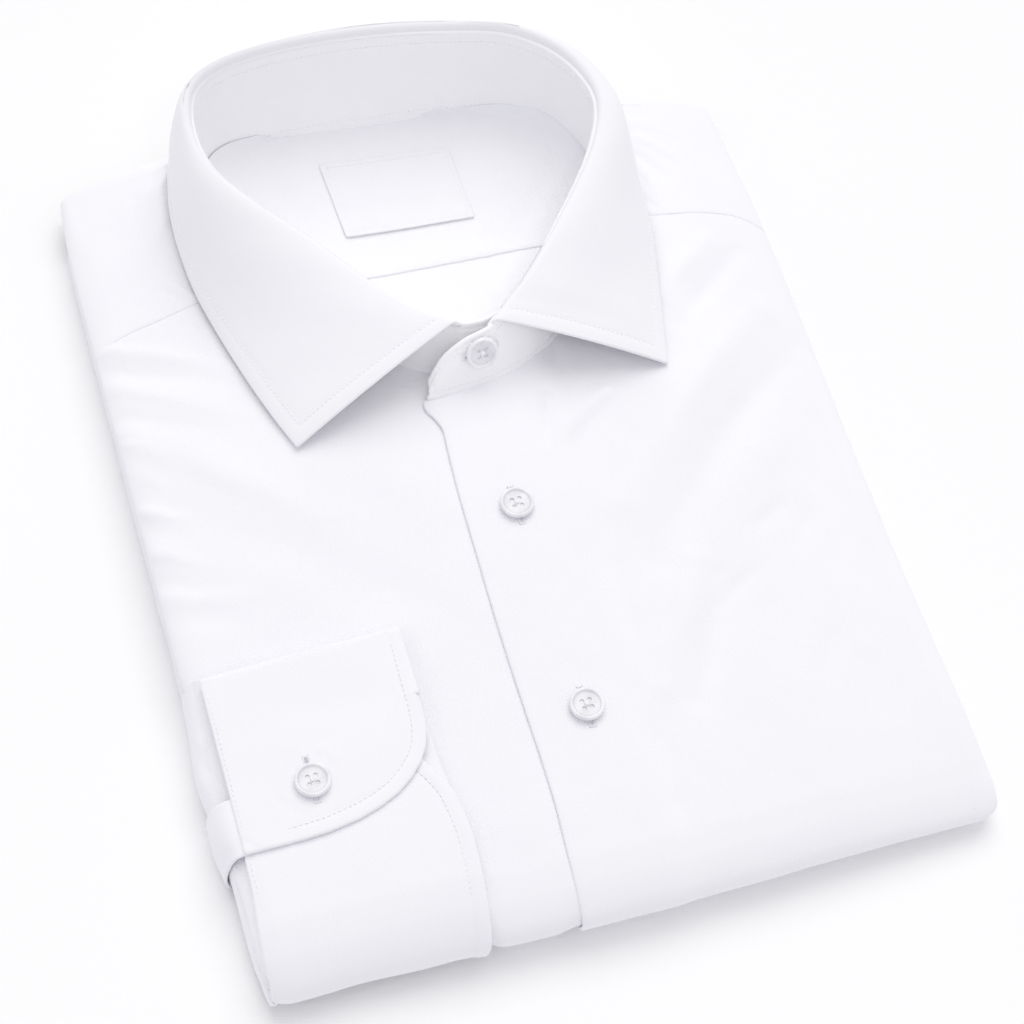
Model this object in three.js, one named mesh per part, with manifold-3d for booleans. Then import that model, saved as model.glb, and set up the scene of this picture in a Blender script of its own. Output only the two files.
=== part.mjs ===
// Folded dress shirt, lying front up on a flat surface.
// Millimetres, +Z up.  +Y runs from the bottom fold to the collar, +X to the
// wearer's left.  The origin is under the middle of the shirt, on the surface.
//
// The shirt is folded in two: the sides are folded back, then the lower half
// is folded up behind.  It is therefore two flat bands, one on the other,
// joined by a big rounded turn at the bottom.  The fronts are walls that run
// from the yoke seams, round that turn and along the underside to the hem.

import * as THREE from 'three';
import { mergeVertices } from 'three/addons/utils/BufferGeometryUtils.js';
import Module from 'manifold-3d';

const wasm = await Module();
wasm.setup();

// ---------------------------------------------------------------- dimensions
const CLOTH = 1.5;            // wall of a front, yoke or sleeve
const THIN = 1.2;             // wall of an inside piece
const GAP = 0.35;             // clearance between pieces
const BAND_HALF = 5.2;        // half the thickness of one folded band
const BAND_MID = 6.4;         // middle plane of the stack to a band's own middle
const STACK_MID = BAND_HALF + BAND_MID;
const STACK = 2 * STACK_MID;  // thickness of the stack before it is pressed
const SIDE_TOP = 9;           // how far in the upper side rounding starts
const FLAP = 4;               // cloth seen under the side rounding
const TURN_Y = 6.8;           // where the bottom turn starts
const HEM_Y = 283;            // hem of the fronts, on the underside
const PLACKET_EDGE = -18.4;   // free edge of the placket
const PLACKET_WIDTH = 35;
const PLACKET_LIFT = 1.95;    // height of the placket over the other front
const BUTTON_STAND = 13;      // edge of the right front, under the placket
const CUFF = { left: -117.8, right: -50.6, top: 99.2, lower: 36.6, under: 54, wall: 1.3, corner: 21 };
const LABEL = { width: 46, height: 30.4, x: -5.4, y: 270.6, turn: 0.03, wall: 0.8 };
const BUTTON = { radius: 5.7, thick: 2.3, rim: 1.15, dish: 0.75, hole: 0.72, pitch: 1.32 };
const SHIFT = { x: -1.755, y: 151.68 };   // middle of the box, taken off at the end

// outline of the folded body: half widths for each height up the shirt
const SIDES = [
  { y: -10, left: 119.6, right: 121.6 },
  { y: 5, left: 120.4, right: 121.6 },
  { y: 41, left: 121.2, right: 120.6 },
  { y: 84, left: 121.6, right: 119.8 },
  { y: 133, left: 121.7, right: 120.2 },
  { y: 188, left: 121.7, right: 122.0 },
  { y: 243, left: 121.7, right: 123.2 },
  { y: 281, left: 121.1, right: 123.0 },
  { y: 314, left: 118.5, right: 121.5 },
];

// height of the top of the stack, across five places, up the shirt
const HEIGHTS = [
  { y: -6, left: 20.0, midLeft: 22.0, centre: 22.5, midRight: 20.5, right: 14.5 },
  { y: 22, left: 21.0, midLeft: 22.5, centre: 23.0, midRight: 21.5, right: 17.0 },
  { y: 62, left: 21.5, midLeft: 23.2, centre: 23.8, midRight: 22.8, right: 19.5 },
  { y: 130, left: 20.8, midLeft: 23.4, centre: 24.4, midRight: 23.6, right: 20.2 },
  { y: 190, left: 19.8, midLeft: 24.4, centre: 25.6, midRight: 24.6, right: 19.8 },
  { y: 240, left: 18.2, midLeft: 26.6, centre: 26.0, midRight: 26.6, right: 18.0 },
  { y: 275, left: 15.6, midLeft: 27.2, centre: 27.7, midRight: 26.6, right: 15.0 },
  { y: 299, left: 12.6, midLeft: 26.5, centre: 30.0, midRight: 25.9, right: 12.0 },
  { y: 314, left: 11.0, midLeft: 21.0, centre: 26.0, midRight: 20.0, right: 10.5 },
];
const ACROSS = [-121, -66, 0, 66, 121];

// collar stand, from the buttoned tab round the neck to the hidden end:
// base of the band in plan, and its top edge
const STAND = [
  { bx: -18.6, by: 182.4, tx: -17.6, ty: 186.4, tz: 31.5 },
  { bx: -13.5, by: 182.9, tx: -13.2, ty: 188.9, tz: 39.2 },
  { bx: -6.0, by: 183.8, tx: -5.2, ty: 191.0, tz: 44.2 },
  { bx: 2.5, by: 185.0, tx: 3.4, ty: 192.9, tz: 46.0 },
  { bx: 12.0, by: 187.6, tx: 10.4, ty: 197.0, tz: 47.6 },
  { bx: 24.0, by: 193.6, tx: 19.6, ty: 205.2, tz: 51.0 },
  { bx: 42.0, by: 209.0, tx: 35.4, ty: 221.5, tz: 56.6 },
  { bx: 58.0, by: 233.0, tx: 53.0, ty: 243.8, tz: 60.6 },
  { bx: 65.6, by: 256.0, tx: 61.6, ty: 262.0, tz: 62.6 },
  { bx: 64.4, by: 274.0, tx: 60.9, ty: 275.6, tz: 63.6 },
  { bx: 56.0, by: 289.0, tx: 53.0, ty: 288.6, tz: 65.3 },
  { bx: 41.0, by: 295.8, tx: 38.0, ty: 298.2, tz: 67.2 },
  { bx: 18.0, by: 298.2, tx: 15.0, ty: 302.4, tz: 68.6 },
  { bx: -10.0, by: 298.6, tx: -10.0, ty: 305.3, tz: 68.8 },
  { bx: -38.0, by: 299.6, tx: -38.0, ty: 305.8, tz: 68.1 },
  { bx: -58.0, by: 298.4, tx: -60.0, ty: 303.4, tz: 65.9 },
  { bx: -68.6, by: 291.6, tx: -71.6, ty: 296.6, tz: 63.9 },
  { bx: -72.0, by: 279.0, tx: -75.2, ty: 283.6, tz: 61.6 },
  { bx: -70.4, by: 261.0, tx: -72.6, ty: 267.0, tz: 59.6 },
  { bx: -60.4, by: 241.4, tx: -62.4, ty: 252.4, tz: 57.0 },
  { bx: -42.6, by: 218.4, tx: -46.0, ty: 234.6, tz: 53.6 },
  { bx: -25.0, by: 200.4, tx: -27.4, ty: 211.6, tz: 49.6 },
  { bx: -10.0, by: 191.2, tx: -10.0, ty: 199.4, tz: 45.4 },
  { bx: 2.0, by: 190.4, tx: 1.6, ty: 197.6, tz: 44.2 },
  { bx: 12.0, by: 192.6, tx: 9.6, ty: 199.8, tz: 44.0 },
];

// collar fall, from the wearer's left front edge round the neck to the right
// front edge: top of the roll, cut edge, how far it stands off the cloth
// there, and how much the fall bows outwards
const FALL = [
  { rx: 5.2, ry: 194.4, rz: 49.0, ex: 65.2, ey: 178.2, off: 1.2, bow: 2.5 },
  { rx: 11.6, ry: 199.6, rz: 50.6, ex: 67.2, ey: 187.0, off: 1.2, bow: 3.5 },
  { rx: 20.4, ry: 206.6, rz: 53.8, ex: 69.4, ey: 196.0, off: 1.2, bow: 4.5 },
  { rx: 36.0, ry: 222.6, rz: 59.2, ex: 73.6, ey: 213.6, off: 1.4, bow: 6.0 },
  { rx: 53.6, ry: 244.6, rz: 63.2, ex: 78.2, ey: 235.6, off: 1.8, bow: 6.0 },
  { rx: 62.2, ry: 262.4, rz: 65.4, ex: 79.0, ey: 256.6, off: 2.6, bow: 4.6 },
  { rx: 61.6, ry: 275.9, rz: 66.4, ex: 78.6, ey: 277.0, off: 3.6, bow: 3.6 },
  { rx: 53.8, ry: 289.0, rz: 68.2, ex: 70.4, ey: 294.6, off: 4.6, bow: 3.0 },
  { rx: 38.6, ry: 298.6, rz: 70.2, ex: 52.0, ey: 304.4, off: 5.6, bow: 2.4 },
  { rx: 15.4, ry: 302.9, rz: 71.6, ex: 20.0, ey: 309.6, off: 5.6, bow: 2.0 },
  { rx: -10.0, ry: 305.8, rz: 72.0, ex: -10.0, ey: 311.4, off: 5.6, bow: 2.0 },
  { rx: -38.0, ry: 306.2, rz: 71.3, ex: -42.0, ey: 311.6, off: 5.2, bow: 2.0 },
  { rx: -60.2, ry: 303.8, rz: 69.2, ex: -66.6, ey: 309.0, off: 4.6, bow: 2.4 },
  { rx: -72.0, ry: 297.0, rz: 67.2, ex: -79.4, ey: 299.0, off: 3.8, bow: 3.0 },
  { rx: -75.6, ry: 283.6, rz: 64.6, ex: -84.6, ey: 283.0, off: 3.0, bow: 3.4 },
  { rx: -73.0, ry: 267.4, rz: 62.6, ex: -86.2, ey: 264.0, off: 2.2, bow: 4.4 },
  { rx: -63.0, ry: 253.0, rz: 59.8, ex: -85.0, ey: 243.0, off: 1.8, bow: 6.0 },
  { rx: -46.6, ry: 235.2, rz: 56.4, ex: -81.4, ey: 224.6, off: 1.4, bow: 6.0 },
  { rx: -28.2, ry: 212.4, rz: 52.4, ex: -76.4, ey: 205.4, off: 1.2, bow: 4.5 },
  { rx: -16.6, ry: 202.6, rz: 50.0, ex: -71.4, ey: 189.0, off: 1.2, bow: 3.5 },
  { rx: -6.2, ry: 197.0, rz: 48.6, ex: -66.2, ey: 174.4, off: 1.2, bow: 2.5 },
];

// seams between fronts and yoke, and the top edge of the folded body
const YOKE_SEAM = [
  { x: -122, y: 231.0 }, { x: -112, y: 235.0 }, { x: -98, y: 238.2 }, { x: -84, y: 241.2 },
  { x: -60, y: 245.0 }, { x: 60, y: 243.4 }, { x: 80, y: 242.6 }, { x: 97, y: 242.2 },
  { x: 111, y: 239.4 }, { x: 124, y: 236.6 },
];
const TOP_EDGE = [
  { x: -121, y: 303.0 }, { x: -108, y: 305.6 }, { x: -77, y: 308.6 }, { x: -40, y: 310.4 },
  { x: 0, y: 310.4 }, { x: 44, y: 307.6 }, { x: 88, y: 301.6 }, { x: 110, y: 297.6 }, { x: 123, y: 294.0 },
];

// the cloth seen down the neck opening: height above the surface
const NECK_FLOOR = [
  { y: 180, z: 18.6 }, { y: 215, z: 19.4 }, { y: 239, z: 21.0 }, { y: 262, z: 23.4 },
  { y: 285, z: 26.6 }, { y: 300, z: 29.3 },
];

// buttons: where each stands on its own cloth
const BUTTONS = [
  { node: 'button_front_1', x: -1.1, y: 137.4 },
  { node: 'button_front_2', x: -1.0, y: 61.5 },
];
const CUFF_BUTTON = { x: -92.3, y: 53.4 };
const COLLAR_BUTTON = { along: 0.118, up: 0.53 };

// colours, roughness
const WHITE = new THREE.Color(0.94, 0.935, 0.965);
const cloth = () => new THREE.MeshStandardMaterial({ color: WHITE, roughness: 0.86, metalness: 0 });
const collarCloth = () => new THREE.MeshStandardMaterial({ color: new THREE.Color(0.93, 0.925, 0.96), roughness: 0.8, metalness: 0 });
const labelCloth = () => new THREE.MeshStandardMaterial({ color: new THREE.Color(0.93, 0.93, 0.94), roughness: 0.6, metalness: 0 });
const pearl = () => new THREE.MeshStandardMaterial({ color: new THREE.Color(0.93, 0.925, 0.945), roughness: 0.28, metalness: 0 });

// ---------------------------------------------------------------- arithmetic
const clamp = (v, a, b) => Math.min(b, Math.max(a, v));
const lerp = (a, b, t) => a + (b - a) * t;
const smooth = (a, b, v) => { const t = clamp((v - a) / (b - a), 0, 1); return t * t * (3 - 2 * t); };
const rad = (d) => d * Math.PI / 180;

// smooth curve through the points (xs[i], ys[i]); flat beyond its ends
function through(xs, ys, x) {
  const n = xs.length;
  if (x <= xs[0]) return ys[0];
  if (x >= xs[n - 1]) return ys[n - 1];
  let i = 0;
  while (x > xs[i + 1]) i++;
  const slope = (j) => {
    if (j === 0 || j === n - 1) return 0;
    return (ys[j + 1] - ys[j - 1]) / (xs[j + 1] - xs[j - 1]);
  };
  const h = xs[i + 1] - xs[i], t = (x - xs[i]) / h;
  const m0 = i === 0 ? (ys[1] - ys[0]) / h : slope(i);
  const m1 = i === n - 2 ? (ys[n - 1] - ys[n - 2]) / h : slope(i + 1);
  const t2 = t * t, t3 = t2 * t;
  return (2 * t3 - 3 * t2 + 1) * ys[i] + (t3 - 2 * t2 + t) * h * m0 + (-2 * t3 + 3 * t2) * ys[i + 1] + (t3 - t2) * h * m1;
}
const column = (rows, key) => rows.map((r) => r[key]);
const byColumn = (rows, xKey, yKey, x) => through(column(rows, xKey), column(rows, yKey), x);

// value of a table column at a fractional row number
function atRow(rows, key, r) {
  const idx = rows.map((_, i) => i);
  return through(idx, column(rows, key), r);
}

// ------------------------------------------------------------- folded stack
function topHeight(x, y) {
  const keys = ['left', 'midLeft', 'centre', 'midRight', 'right'];
  const row = keys.map((k) => byColumn(HEIGHTS, 'y', k, y));
  return through(ACROSS, row, x);
}
// the stack is drawn with an even thickness, then pressed to its real heights
const press = ([x, y, z]) => [x, y, z * topHeight(x, y) / STACK];

const sideX = (side, y) => byColumn(SIDES, 'y', side > 0 ? 'right' : 'left', y);
const seamY = (x) => byColumn(YOKE_SEAM, 'x', 'y', x);
const edgeY = (x) => byColumn(TOP_EDGE, 'x', 'y', x);
const turnY = (x) => TURN_Y + 3.2 * smooth(0, 118, x);

// where a row lies: on top (y), round the bottom turn (angle), or underneath (y)
function track(row, x) {
  if (row.top !== undefined) return { y: row.top, z: STACK_MID + BAND_MID, ny: 0, nz: 1 };
  if (row.under !== undefined) return { y: row.under, z: STACK_MID - BAND_MID, ny: 0, nz: -1 };
  const a = rad(row.turn), s = Math.sin(a), c = Math.cos(a);
  return { y: turnY(x) - BAND_MID * s, z: STACK_MID + BAND_MID * c, ny: -s, nz: c };
}
// how far a row has gone round: 0 on top, 1 underneath
const wrapped = (row) => (row.top !== undefined ? 0 : row.under !== undefined ? 1 : smooth(0, 180, row.turn));

// a point on the band's outside and its normal, for a column of the section
function bandPoint(col, row, side, inner) {
  const probe = track(row, side * 110);
  const xs = sideX(side, row.turn !== undefined ? TURN_Y : probe.y);
  let x, n, mx, mn;
  if (col.flat !== undefined) {
    x = lerp(inner, side * (xs - SIDE_TOP), col.flat); n = BAND_HALF; mx = 0; mn = 1;
  } else if (col.flap !== undefined) {
    x = side * (xs - BAND_HALF - col.flap); n = -BAND_HALF; mx = 0; mn = -1;
  } else {
    const a = rad(col.round), s = Math.sin(a), c = Math.cos(a);
    const w = col.round <= 90 ? SIDE_TOP : BAND_HALF;
    x = side * (xs - w + w * s); n = BAND_HALF * c;
    mx = side * s / w; mn = c / BAND_HALF;
    const l = Math.hypot(mx, mn); mx /= l; mn /= l;
  }
  const tr = track(row, x);
  return {
    at: [x, tr.y + n * tr.ny, tr.z + n * tr.nz],
    normal: [mx, mn * tr.ny, mn * tr.nz],
  };
}
const lifted = (pt, by) => [0, 1, 2].map((i) => pt.at[i] + pt.normal[i] * by);

// ---------------------------------------------------------------- solids
// closed solid from two matching grids of points, outside[i][j], inside[i][j]
function wall(outside, inside) {
  const ni = outside.length, nj = outside[0].length;
  const pos = [], idx = [];
  const base = ni * nj;
  for (const grid of [outside, inside]) for (const line of grid) for (const p of line) pos.push(...p);
  const at = (k, i, j) => k * base + i * nj + j;
  const quad = (a, b, c, d) => idx.push(a, b, c, a, c, d);
  for (let i = 0; i < ni - 1; i++) for (let j = 0; j < nj - 1; j++) {
    quad(at(0, i, j), at(0, i + 1, j), at(0, i + 1, j + 1), at(0, i, j + 1));
    quad(at(1, i, j), at(1, i, j + 1), at(1, i + 1, j + 1), at(1, i + 1, j));
  }
  for (let i = 0; i < ni - 1; i++) {
    quad(at(0, i, 0), at(1, i, 0), at(1, i + 1, 0), at(0, i + 1, 0));
    quad(at(0, i, nj - 1), at(0, i + 1, nj - 1), at(1, i + 1, nj - 1), at(1, i, nj - 1));
  }
  for (let j = 0; j < nj - 1; j++) {
    quad(at(0, 0, j), at(0, 0, j + 1), at(1, 0, j + 1), at(1, 0, j));
    quad(at(0, ni - 1, j), at(1, ni - 1, j), at(1, ni - 1, j + 1), at(0, ni - 1, j + 1));
  }
  return closed(pos, idx);
}
// closed solid from rings of points with flat ends
function loft(rings) {
  const nr = rings.length, np = rings[0].length, pos = [], idx = [];
  for (const ring of rings) for (const p of ring) pos.push(...p);
  for (let r = 0; r < nr - 1; r++) for (let k = 0; k < np; k++) {
    const k2 = (k + 1) % np;
    const a = r * np + k, b = (r + 1) * np + k, c = (r + 1) * np + k2, d = r * np + k2;
    idx.push(a, b, c, a, c, d);
  }
  for (const [r, flip] of [[0, false], [nr - 1, true]]) {
    const mid = pos.length / 3;
    const c = [0, 0, 0];
    for (const p of rings[r]) for (let i = 0; i < 3; i++) c[i] += p[i] / np;
    pos.push(...c);
    for (let k = 0; k < np; k++) {
      const a = r * np + k, b = r * np + (k + 1) % np;
      if (flip) idx.push(mid, b, a); else idx.push(mid, a, b);
    }
  }
  return closed(pos, idx);
}
function closed(pos, idx) {
  let six = 0;
  for (let i = 0; i < idx.length; i += 3) {
    const [a, b, c] = [idx[i], idx[i + 1], idx[i + 2]].map((k) => [pos[3 * k], pos[3 * k + 1], pos[3 * k + 2]]);
    six += a[0] * (b[1] * c[2] - b[2] * c[1]) - a[1] * (b[0] * c[2] - b[2] * c[0]) + a[2] * (b[0] * c[1] - b[1] * c[0]);
  }
  if (six < 0) for (let i = 0; i < idx.length; i += 3) [idx[i + 1], idx[i + 2]] = [idx[i + 2], idx[i + 1]];
  const g = new THREE.BufferGeometry();
  g.setAttribute('position', new THREE.Float32BufferAttribute(pos, 3));
  g.setIndex(idx);
  return g;
}

// ---------------------------------------------------------------- the pieces
const shirt = new THREE.Group();
shirt.position.set(-SHIFT.x, -SHIFT.y, 0);
function add(node, geometry, material) {
  const mesh = new THREE.Mesh(geometry, material);
  mesh.name = node;
  shirt.add(mesh);
  return mesh;
}

// neckline in plan: the collar stand's base, pushed outwards by d
function standAt(r) {
  return { bx: atRow(STAND, 'bx', r), by: atRow(STAND, 'by', r), tx: atRow(STAND, 'tx', r), ty: atRow(STAND, 'ty', r), tz: atRow(STAND, 'tz', r) };
}
function neckPoint(r, d) {
  const e = 0.05, a = standAt(Math.max(0, r - e)), b = standAt(Math.min(STAND.length - 1, r + e));
  const dx = b.bx - a.bx, dy = b.by - a.by, l = Math.hypot(dx, dy), c = standAt(r);
  return [c.bx + dy / l * d, c.by - dx / l * d];
}
// rows of the stand at which the neckline crosses the two yoke seams
function neckAt(from, to) {
  let a = from, b = to;
  const over = (r) => { const [x, y] = neckPoint(r, 0); return y - seamY(x); };
  for (let i = 0; i < 40; i++) { const m = (a + b) / 2; if (over(m) > 0) b = m; else a = m; }
  return (a + b) / 2;
}
const NECK_RIGHT = neckAt(5, 9), NECK_LEFT = neckAt(21, 17);

// cross rows shared by both fronts
const TOP_ROWS = [20, 40, 62, 88, 115, 142, 165];
const TURNS = [20, 45, 70, 95, 120, 145, 170];
const UNDER_ROWS = [HEM_Y, 215, 140, 70, 16];
const COLUMNS = [
  { flat: 0 }, { flat: 0.07 }, { flat: 0.15 }, { flat: 0.215 }, { flat: 0.28 }, { flat: 0.345 }, { flat: 0.52 }, { flat: 0.76 }, { flat: 1 },
  { round: 25 }, { round: 50 }, { round: 75 }, { round: 100 }, { round: 130 }, { round: 160 }, { flap: FLAP },
];

// a front: rows from the hem, along the underside, round the turn and up
function front(side, edge, neckRows, liftAt) {
  const rows = [
    ...UNDER_ROWS.map((y) => ({ under: y, inner: edge })),
    ...TURNS.slice().reverse().map((a) => ({ turn: a, inner: edge })),
    ...TOP_ROWS.map((y) => ({ top: y, inner: edge })),
    ...neckRows,
  ];
  const out = [], ins = [], last = neckRows[neckRows.length - 1].top;
  for (const row of rows) {
    const lo = [], li = [];
    for (const col of COLUMNS) {
      const y0 = row.top;
      const probe = bandPoint(col, row, side, row.inner);
      let here = row;
      if (y0 !== undefined) {
        const pull = smooth(190, last, y0);
        here = { top: y0 + pull * (seamY(probe.at[0]) - last), inner: row.inner };
      }
      const pt = bandPoint(col, here, side, row.inner);
      const lift = liftAt(pt.at[0], wrapped(row), col);
      lo.push(press(lifted(pt, lift)));
      li.push(press(lifted(pt, lift - CLOTH)));
    }
    out.push(lo); ins.push(li);
  }
  return wall(out, ins);
}
const neckRow = (r, d) => { const [x, y] = neckPoint(r, d); return { top: y, inner: x }; };

// wearer's left front, on top: it carries the placket and the buttonholes
const placketLift = (x) => PLACKET_LIFT * (1 - smooth(PLACKET_EDGE + PLACKET_WIDTH - 3.5, PLACKET_EDGE + PLACKET_WIDTH + 9, x));
add('front_left', front(1, PLACKET_EDGE, [
  { top: 176, inner: PLACKET_EDGE },
  { top: 181.2, inner: PLACKET_EDGE },
  neckRow(1.5, 1.25), neckRow(3.0, 1.25), neckRow(4.3, 1.25), neckRow(5.1, 1.25), neckRow(5.8, 1.25), neckRow(6.4, 1.25), neckRow(7.0, 1.25),
  neckRow(NECK_RIGHT, 1.25),
], (x, w) => (1 - w) * placketLift(x)), cloth());

// wearer's right front, beneath: its button stand runs under the placket
const underLift = (x) => -PLACKET_LIFT * smooth(PLACKET_EDGE - 12, PLACKET_EDGE - 4, x);
add('front_right', front(-1, BUTTON_STAND, [
  { top: 176, inner: BUTTON_STAND },
  { top: 183, inner: BUTTON_STAND },
  { top: 188.6, inner: BUTTON_STAND - 6 },
  neckRow(22.2, 1.25), neckRow(21.4, 1.25), neckRow(20.7, 1.25), neckRow(20.2, 1.25), neckRow(19.6, 1.25), neckRow(19.2, 1.25),
  neckRow(NECK_LEFT, 1.25),
], (x, w) => w * underLift(x) + (1 - w) * -1.15 * smooth(PLACKET_EDGE - 8, PLACKET_EDGE + 1, x)), cloth());

// yoke: a horseshoe round the neck, over both shoulders and the top edge
{
  const corner = 5.5;
  const outline = [];
  // up the wearer's right side, round the corner, along the top, down the left
  const sideRows = [0, 0.28, 0.56, 0.8];
  for (const [side, order] of [[-1, 1], [1, -1]]) {
    const part = [];
    const yc = edgeY(side * 118) - corner;
    for (const f of sideRows) {
      const y = lerp(seamY(side * 121) + 0.7, yc, f);
      part.push({ x: side * sideX(side, y), y, ox: side, oy: 0 });
    }
    for (const a of [20, 55, 85]) {
      const xs = sideX(side, yc);
      part.push({ x: side * (xs - corner + corner * Math.cos(rad(a))), y: yc + corner * Math.sin(rad(a)) + (a > 60 ? 0.2 : 0), ox: side * Math.cos(rad(a)), oy: Math.sin(rad(a)) });
    }
    if (order > 0) outline.push(...part);
    else {
      for (const x of [-98, -77, -54, -28, 0, 26, 50, 72, 92, 107]) outline.push({ x, y: edgeY(x), ox: 0, oy: 1 });
      outline.push(...part.reverse());
    }
  }
  const n = outline.length;
  const necks = [18.75, 18.6, 18.4, 18.0, 17.5, 17.1, 16.7, 16.2, 15.7, 15.1, 14.3, 13.5, 12.7, 11.9, 11.2, 10.6, 10.1, 9.7, 9.3, 8.9, 8.5, 8.1, 7.75, 7.5];
  const steps = [{ f: 0 }, { f: 0.34 }, { f: 0.68 }, { f: 1 }, { r: 25 }, { r: 50 }, { r: 75 }, { r: 105 }, { r: 140 }, { r: 180 }];
  const out = [], ins = [];
  for (let i = 0; i < n; i++) {
    const o = outline[i];
    const rowAt = lerp(0, necks.length - 1, i / (n - 1));
    const neck = neckPoint(through(necks.map((_, k) => k), necks, rowAt), 1.25);
    const lo = [], li = [];
    for (const st of steps) {
      let x, y, nn, mx, my, mz;
      const w = SIDE_TOP;
      const bx = o.x - o.ox * w, by = o.y - o.oy * w;
      if (st.f !== undefined) {
        x = lerp(neck[0], bx, st.f); y = lerp(neck[1], by, st.f); nn = BAND_HALF; mx = 0; my = 0; mz = 1;
      } else {
        const a = rad(st.r), s = Math.sin(a), c = Math.cos(a);
        const ww = st.r <= 90 ? SIDE_TOP : BAND_HALF;
        x = o.x - o.ox * ww * (1 - s); y = o.y - o.oy * ww * (1 - s); nn = BAND_HALF * c;
        const l = Math.hypot(s / ww, c / BAND_HALF);
        mx = o.ox * s / ww / l; my = o.oy * s / ww / l; mz = c / BAND_HALF / l;
      }
      if (i === 0 || i === n - 1) y = Math.max(y, seamY(x) + 0.7);
      const z = STACK_MID + BAND_MID + nn;
      lo.push(press([x, y, z]));
      li.push(press([x - mx * CLOTH, y - my * CLOTH, z - mz * CLOTH]));
    }
    out.push(lo); ins.push(li);
  }
  add('yoke', wall(out, ins), cloth());
}

// inside of the neck: inner yoke above, back below it, each cut to the neckline
const floorZ = (x, y) => byColumn(NECK_FLOOR, 'y', 'z', y) + 1.6 * Math.pow(Math.abs(x + 3) / 70, 2);
function inset(rightRow, leftRow, count, top, d) {
  // rows from one side of the neckline to the other
  const out = [], ins = [];
  for (let i = 0; i <= count; i++) {
    const t = i / count;
    const a = neckPoint(lerp(rightRow[0], rightRow[1], t), d);
    const b = neckPoint(lerp(leftRow[0], leftRow[1], t), d);
    const lo = [], li = [];
    for (let j = 0; j <= 8; j++) {
      const x = lerp(a[0], b[0], j / 8), y = lerp(a[1], b[1], j / 8);
      lo.push([x, y, floorZ(x, y) + top]);
      li.push([x, y, floorZ(x, y) + top - THIN]);
    }
    out.push(lo); ins.push(li);
  }
  return wall(out, ins);
}
add('yoke_inner', inset([7.31, 11.9], [19.04, 14.7], 7, 0.9, -2.3), cloth());
add('back', inset([3.9, 7.27], [22.0, 19.08], 5, 0, -2.0), cloth());

// label on the inner yoke, left plain
{
  const out = [], ins = [], c = Math.cos(-LABEL.turn), s = Math.sin(-LABEL.turn);
  for (const v of [-0.5, -0.17, 0.17, 0.5]) {
    const lo = [], li = [];
    for (const u of [-0.5, -0.17, 0.17, 0.5]) {
      const lx = u * LABEL.width, ly = v * LABEL.height;
      const x = LABEL.x + lx * c - ly * s, y = LABEL.y + lx * s + ly * c;
      const z = floorZ(x, y) + 0.9 + 0.45;
      lo.push([x, y, z + LABEL.wall]); li.push([x, y, z]);
    }
    out.push(lo); ins.push(li);
  }
  add('label', wall(out, ins), labelCloth());
}

// hidden folded layers: two soft bands and a loose layer between them
{
  const inside = (x, y) => {
    // 1 well inside the neck opening, 0 outside it
    const dx = (x + 3) / 74, dy = (y - 243) / 66;
    return 1 - smooth(1.0, 1.2, Math.hypot(dx, dy));
  };
  const stations = [TURN_Y - 4, TURN_Y, 13, 20, 62, 115, 165, 181, 190, 205, 224, 245, 265, 280, 288, 292];
  const rings = [];
  for (const y of stations) {
    const ring = [];
    const open = smooth(TURN_Y + 3, TURN_Y + 7, y) * (1 - smooth(286, 291, y));
    const squeeze = y < TURN_Y ? 0.52 : y < TURN_Y + 1 ? 0.8 : 1;
    const ends = y > 289 ? 0.8 : 1;
    const zAt = (raw) => STACK_MID + (raw - STACK_MID) * squeeze * ends;
    const half = (side) => Math.min(sideX(side, y), 121) - 17.5 - (1 - squeeze) * 6;
    const edge = (side) => {
      const h = half(side), r = (v) => side * (h + v * open);
      return [
        [r(0), 2.6], [r(9.5), 3.4], [r(13), 5.4], [r(9.5), 7.6], [r(0), 8.2],
        [r(0), 10.9], [r(9), 11.0], [r(14.5), 11.6], [r(9), 12.2], [r(0), 12.3],
        [r(0), 15.0], [r(9.5), 15.6], [r(13), 17.8], [r(9), 19.4], [r(0), 20.0],
      ];
    };
    for (const [x, z] of edge(1)) ring.push(press([x, y, zAt(z)]));
    const hr = half(1), hl = half(-1);
    for (const f of [0.12, 0.24, 0.36, 0.5, 0.64, 0.76, 0.88]) {
      const x = lerp(hr, -hl, f);
      const p = press([x, y, zAt(19.7)]);
      const k = inside(x, y);
      p[2] = Math.min(p[2], lerp(p[2], Math.min(p[2], floorZ(x, y) - THIN - 1.2), k));
      ring.push(p);
    }
    for (const [x, z] of edge(-1).reverse()) ring.push(press([x, y, zAt(z)]));
    // the underside is hollowed where the right front's button stand is
    for (const [x, z] of [[-60, 2.6], [-33, 2.6], [-28, 4.6], [16, 4.6], [22, 2.6], [60, 2.6]]) ring.push(press([x, y, zAt(z)]));
    rings.push(ring);
  }
  add('folded_layers', loft(rings), cloth());
}

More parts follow.
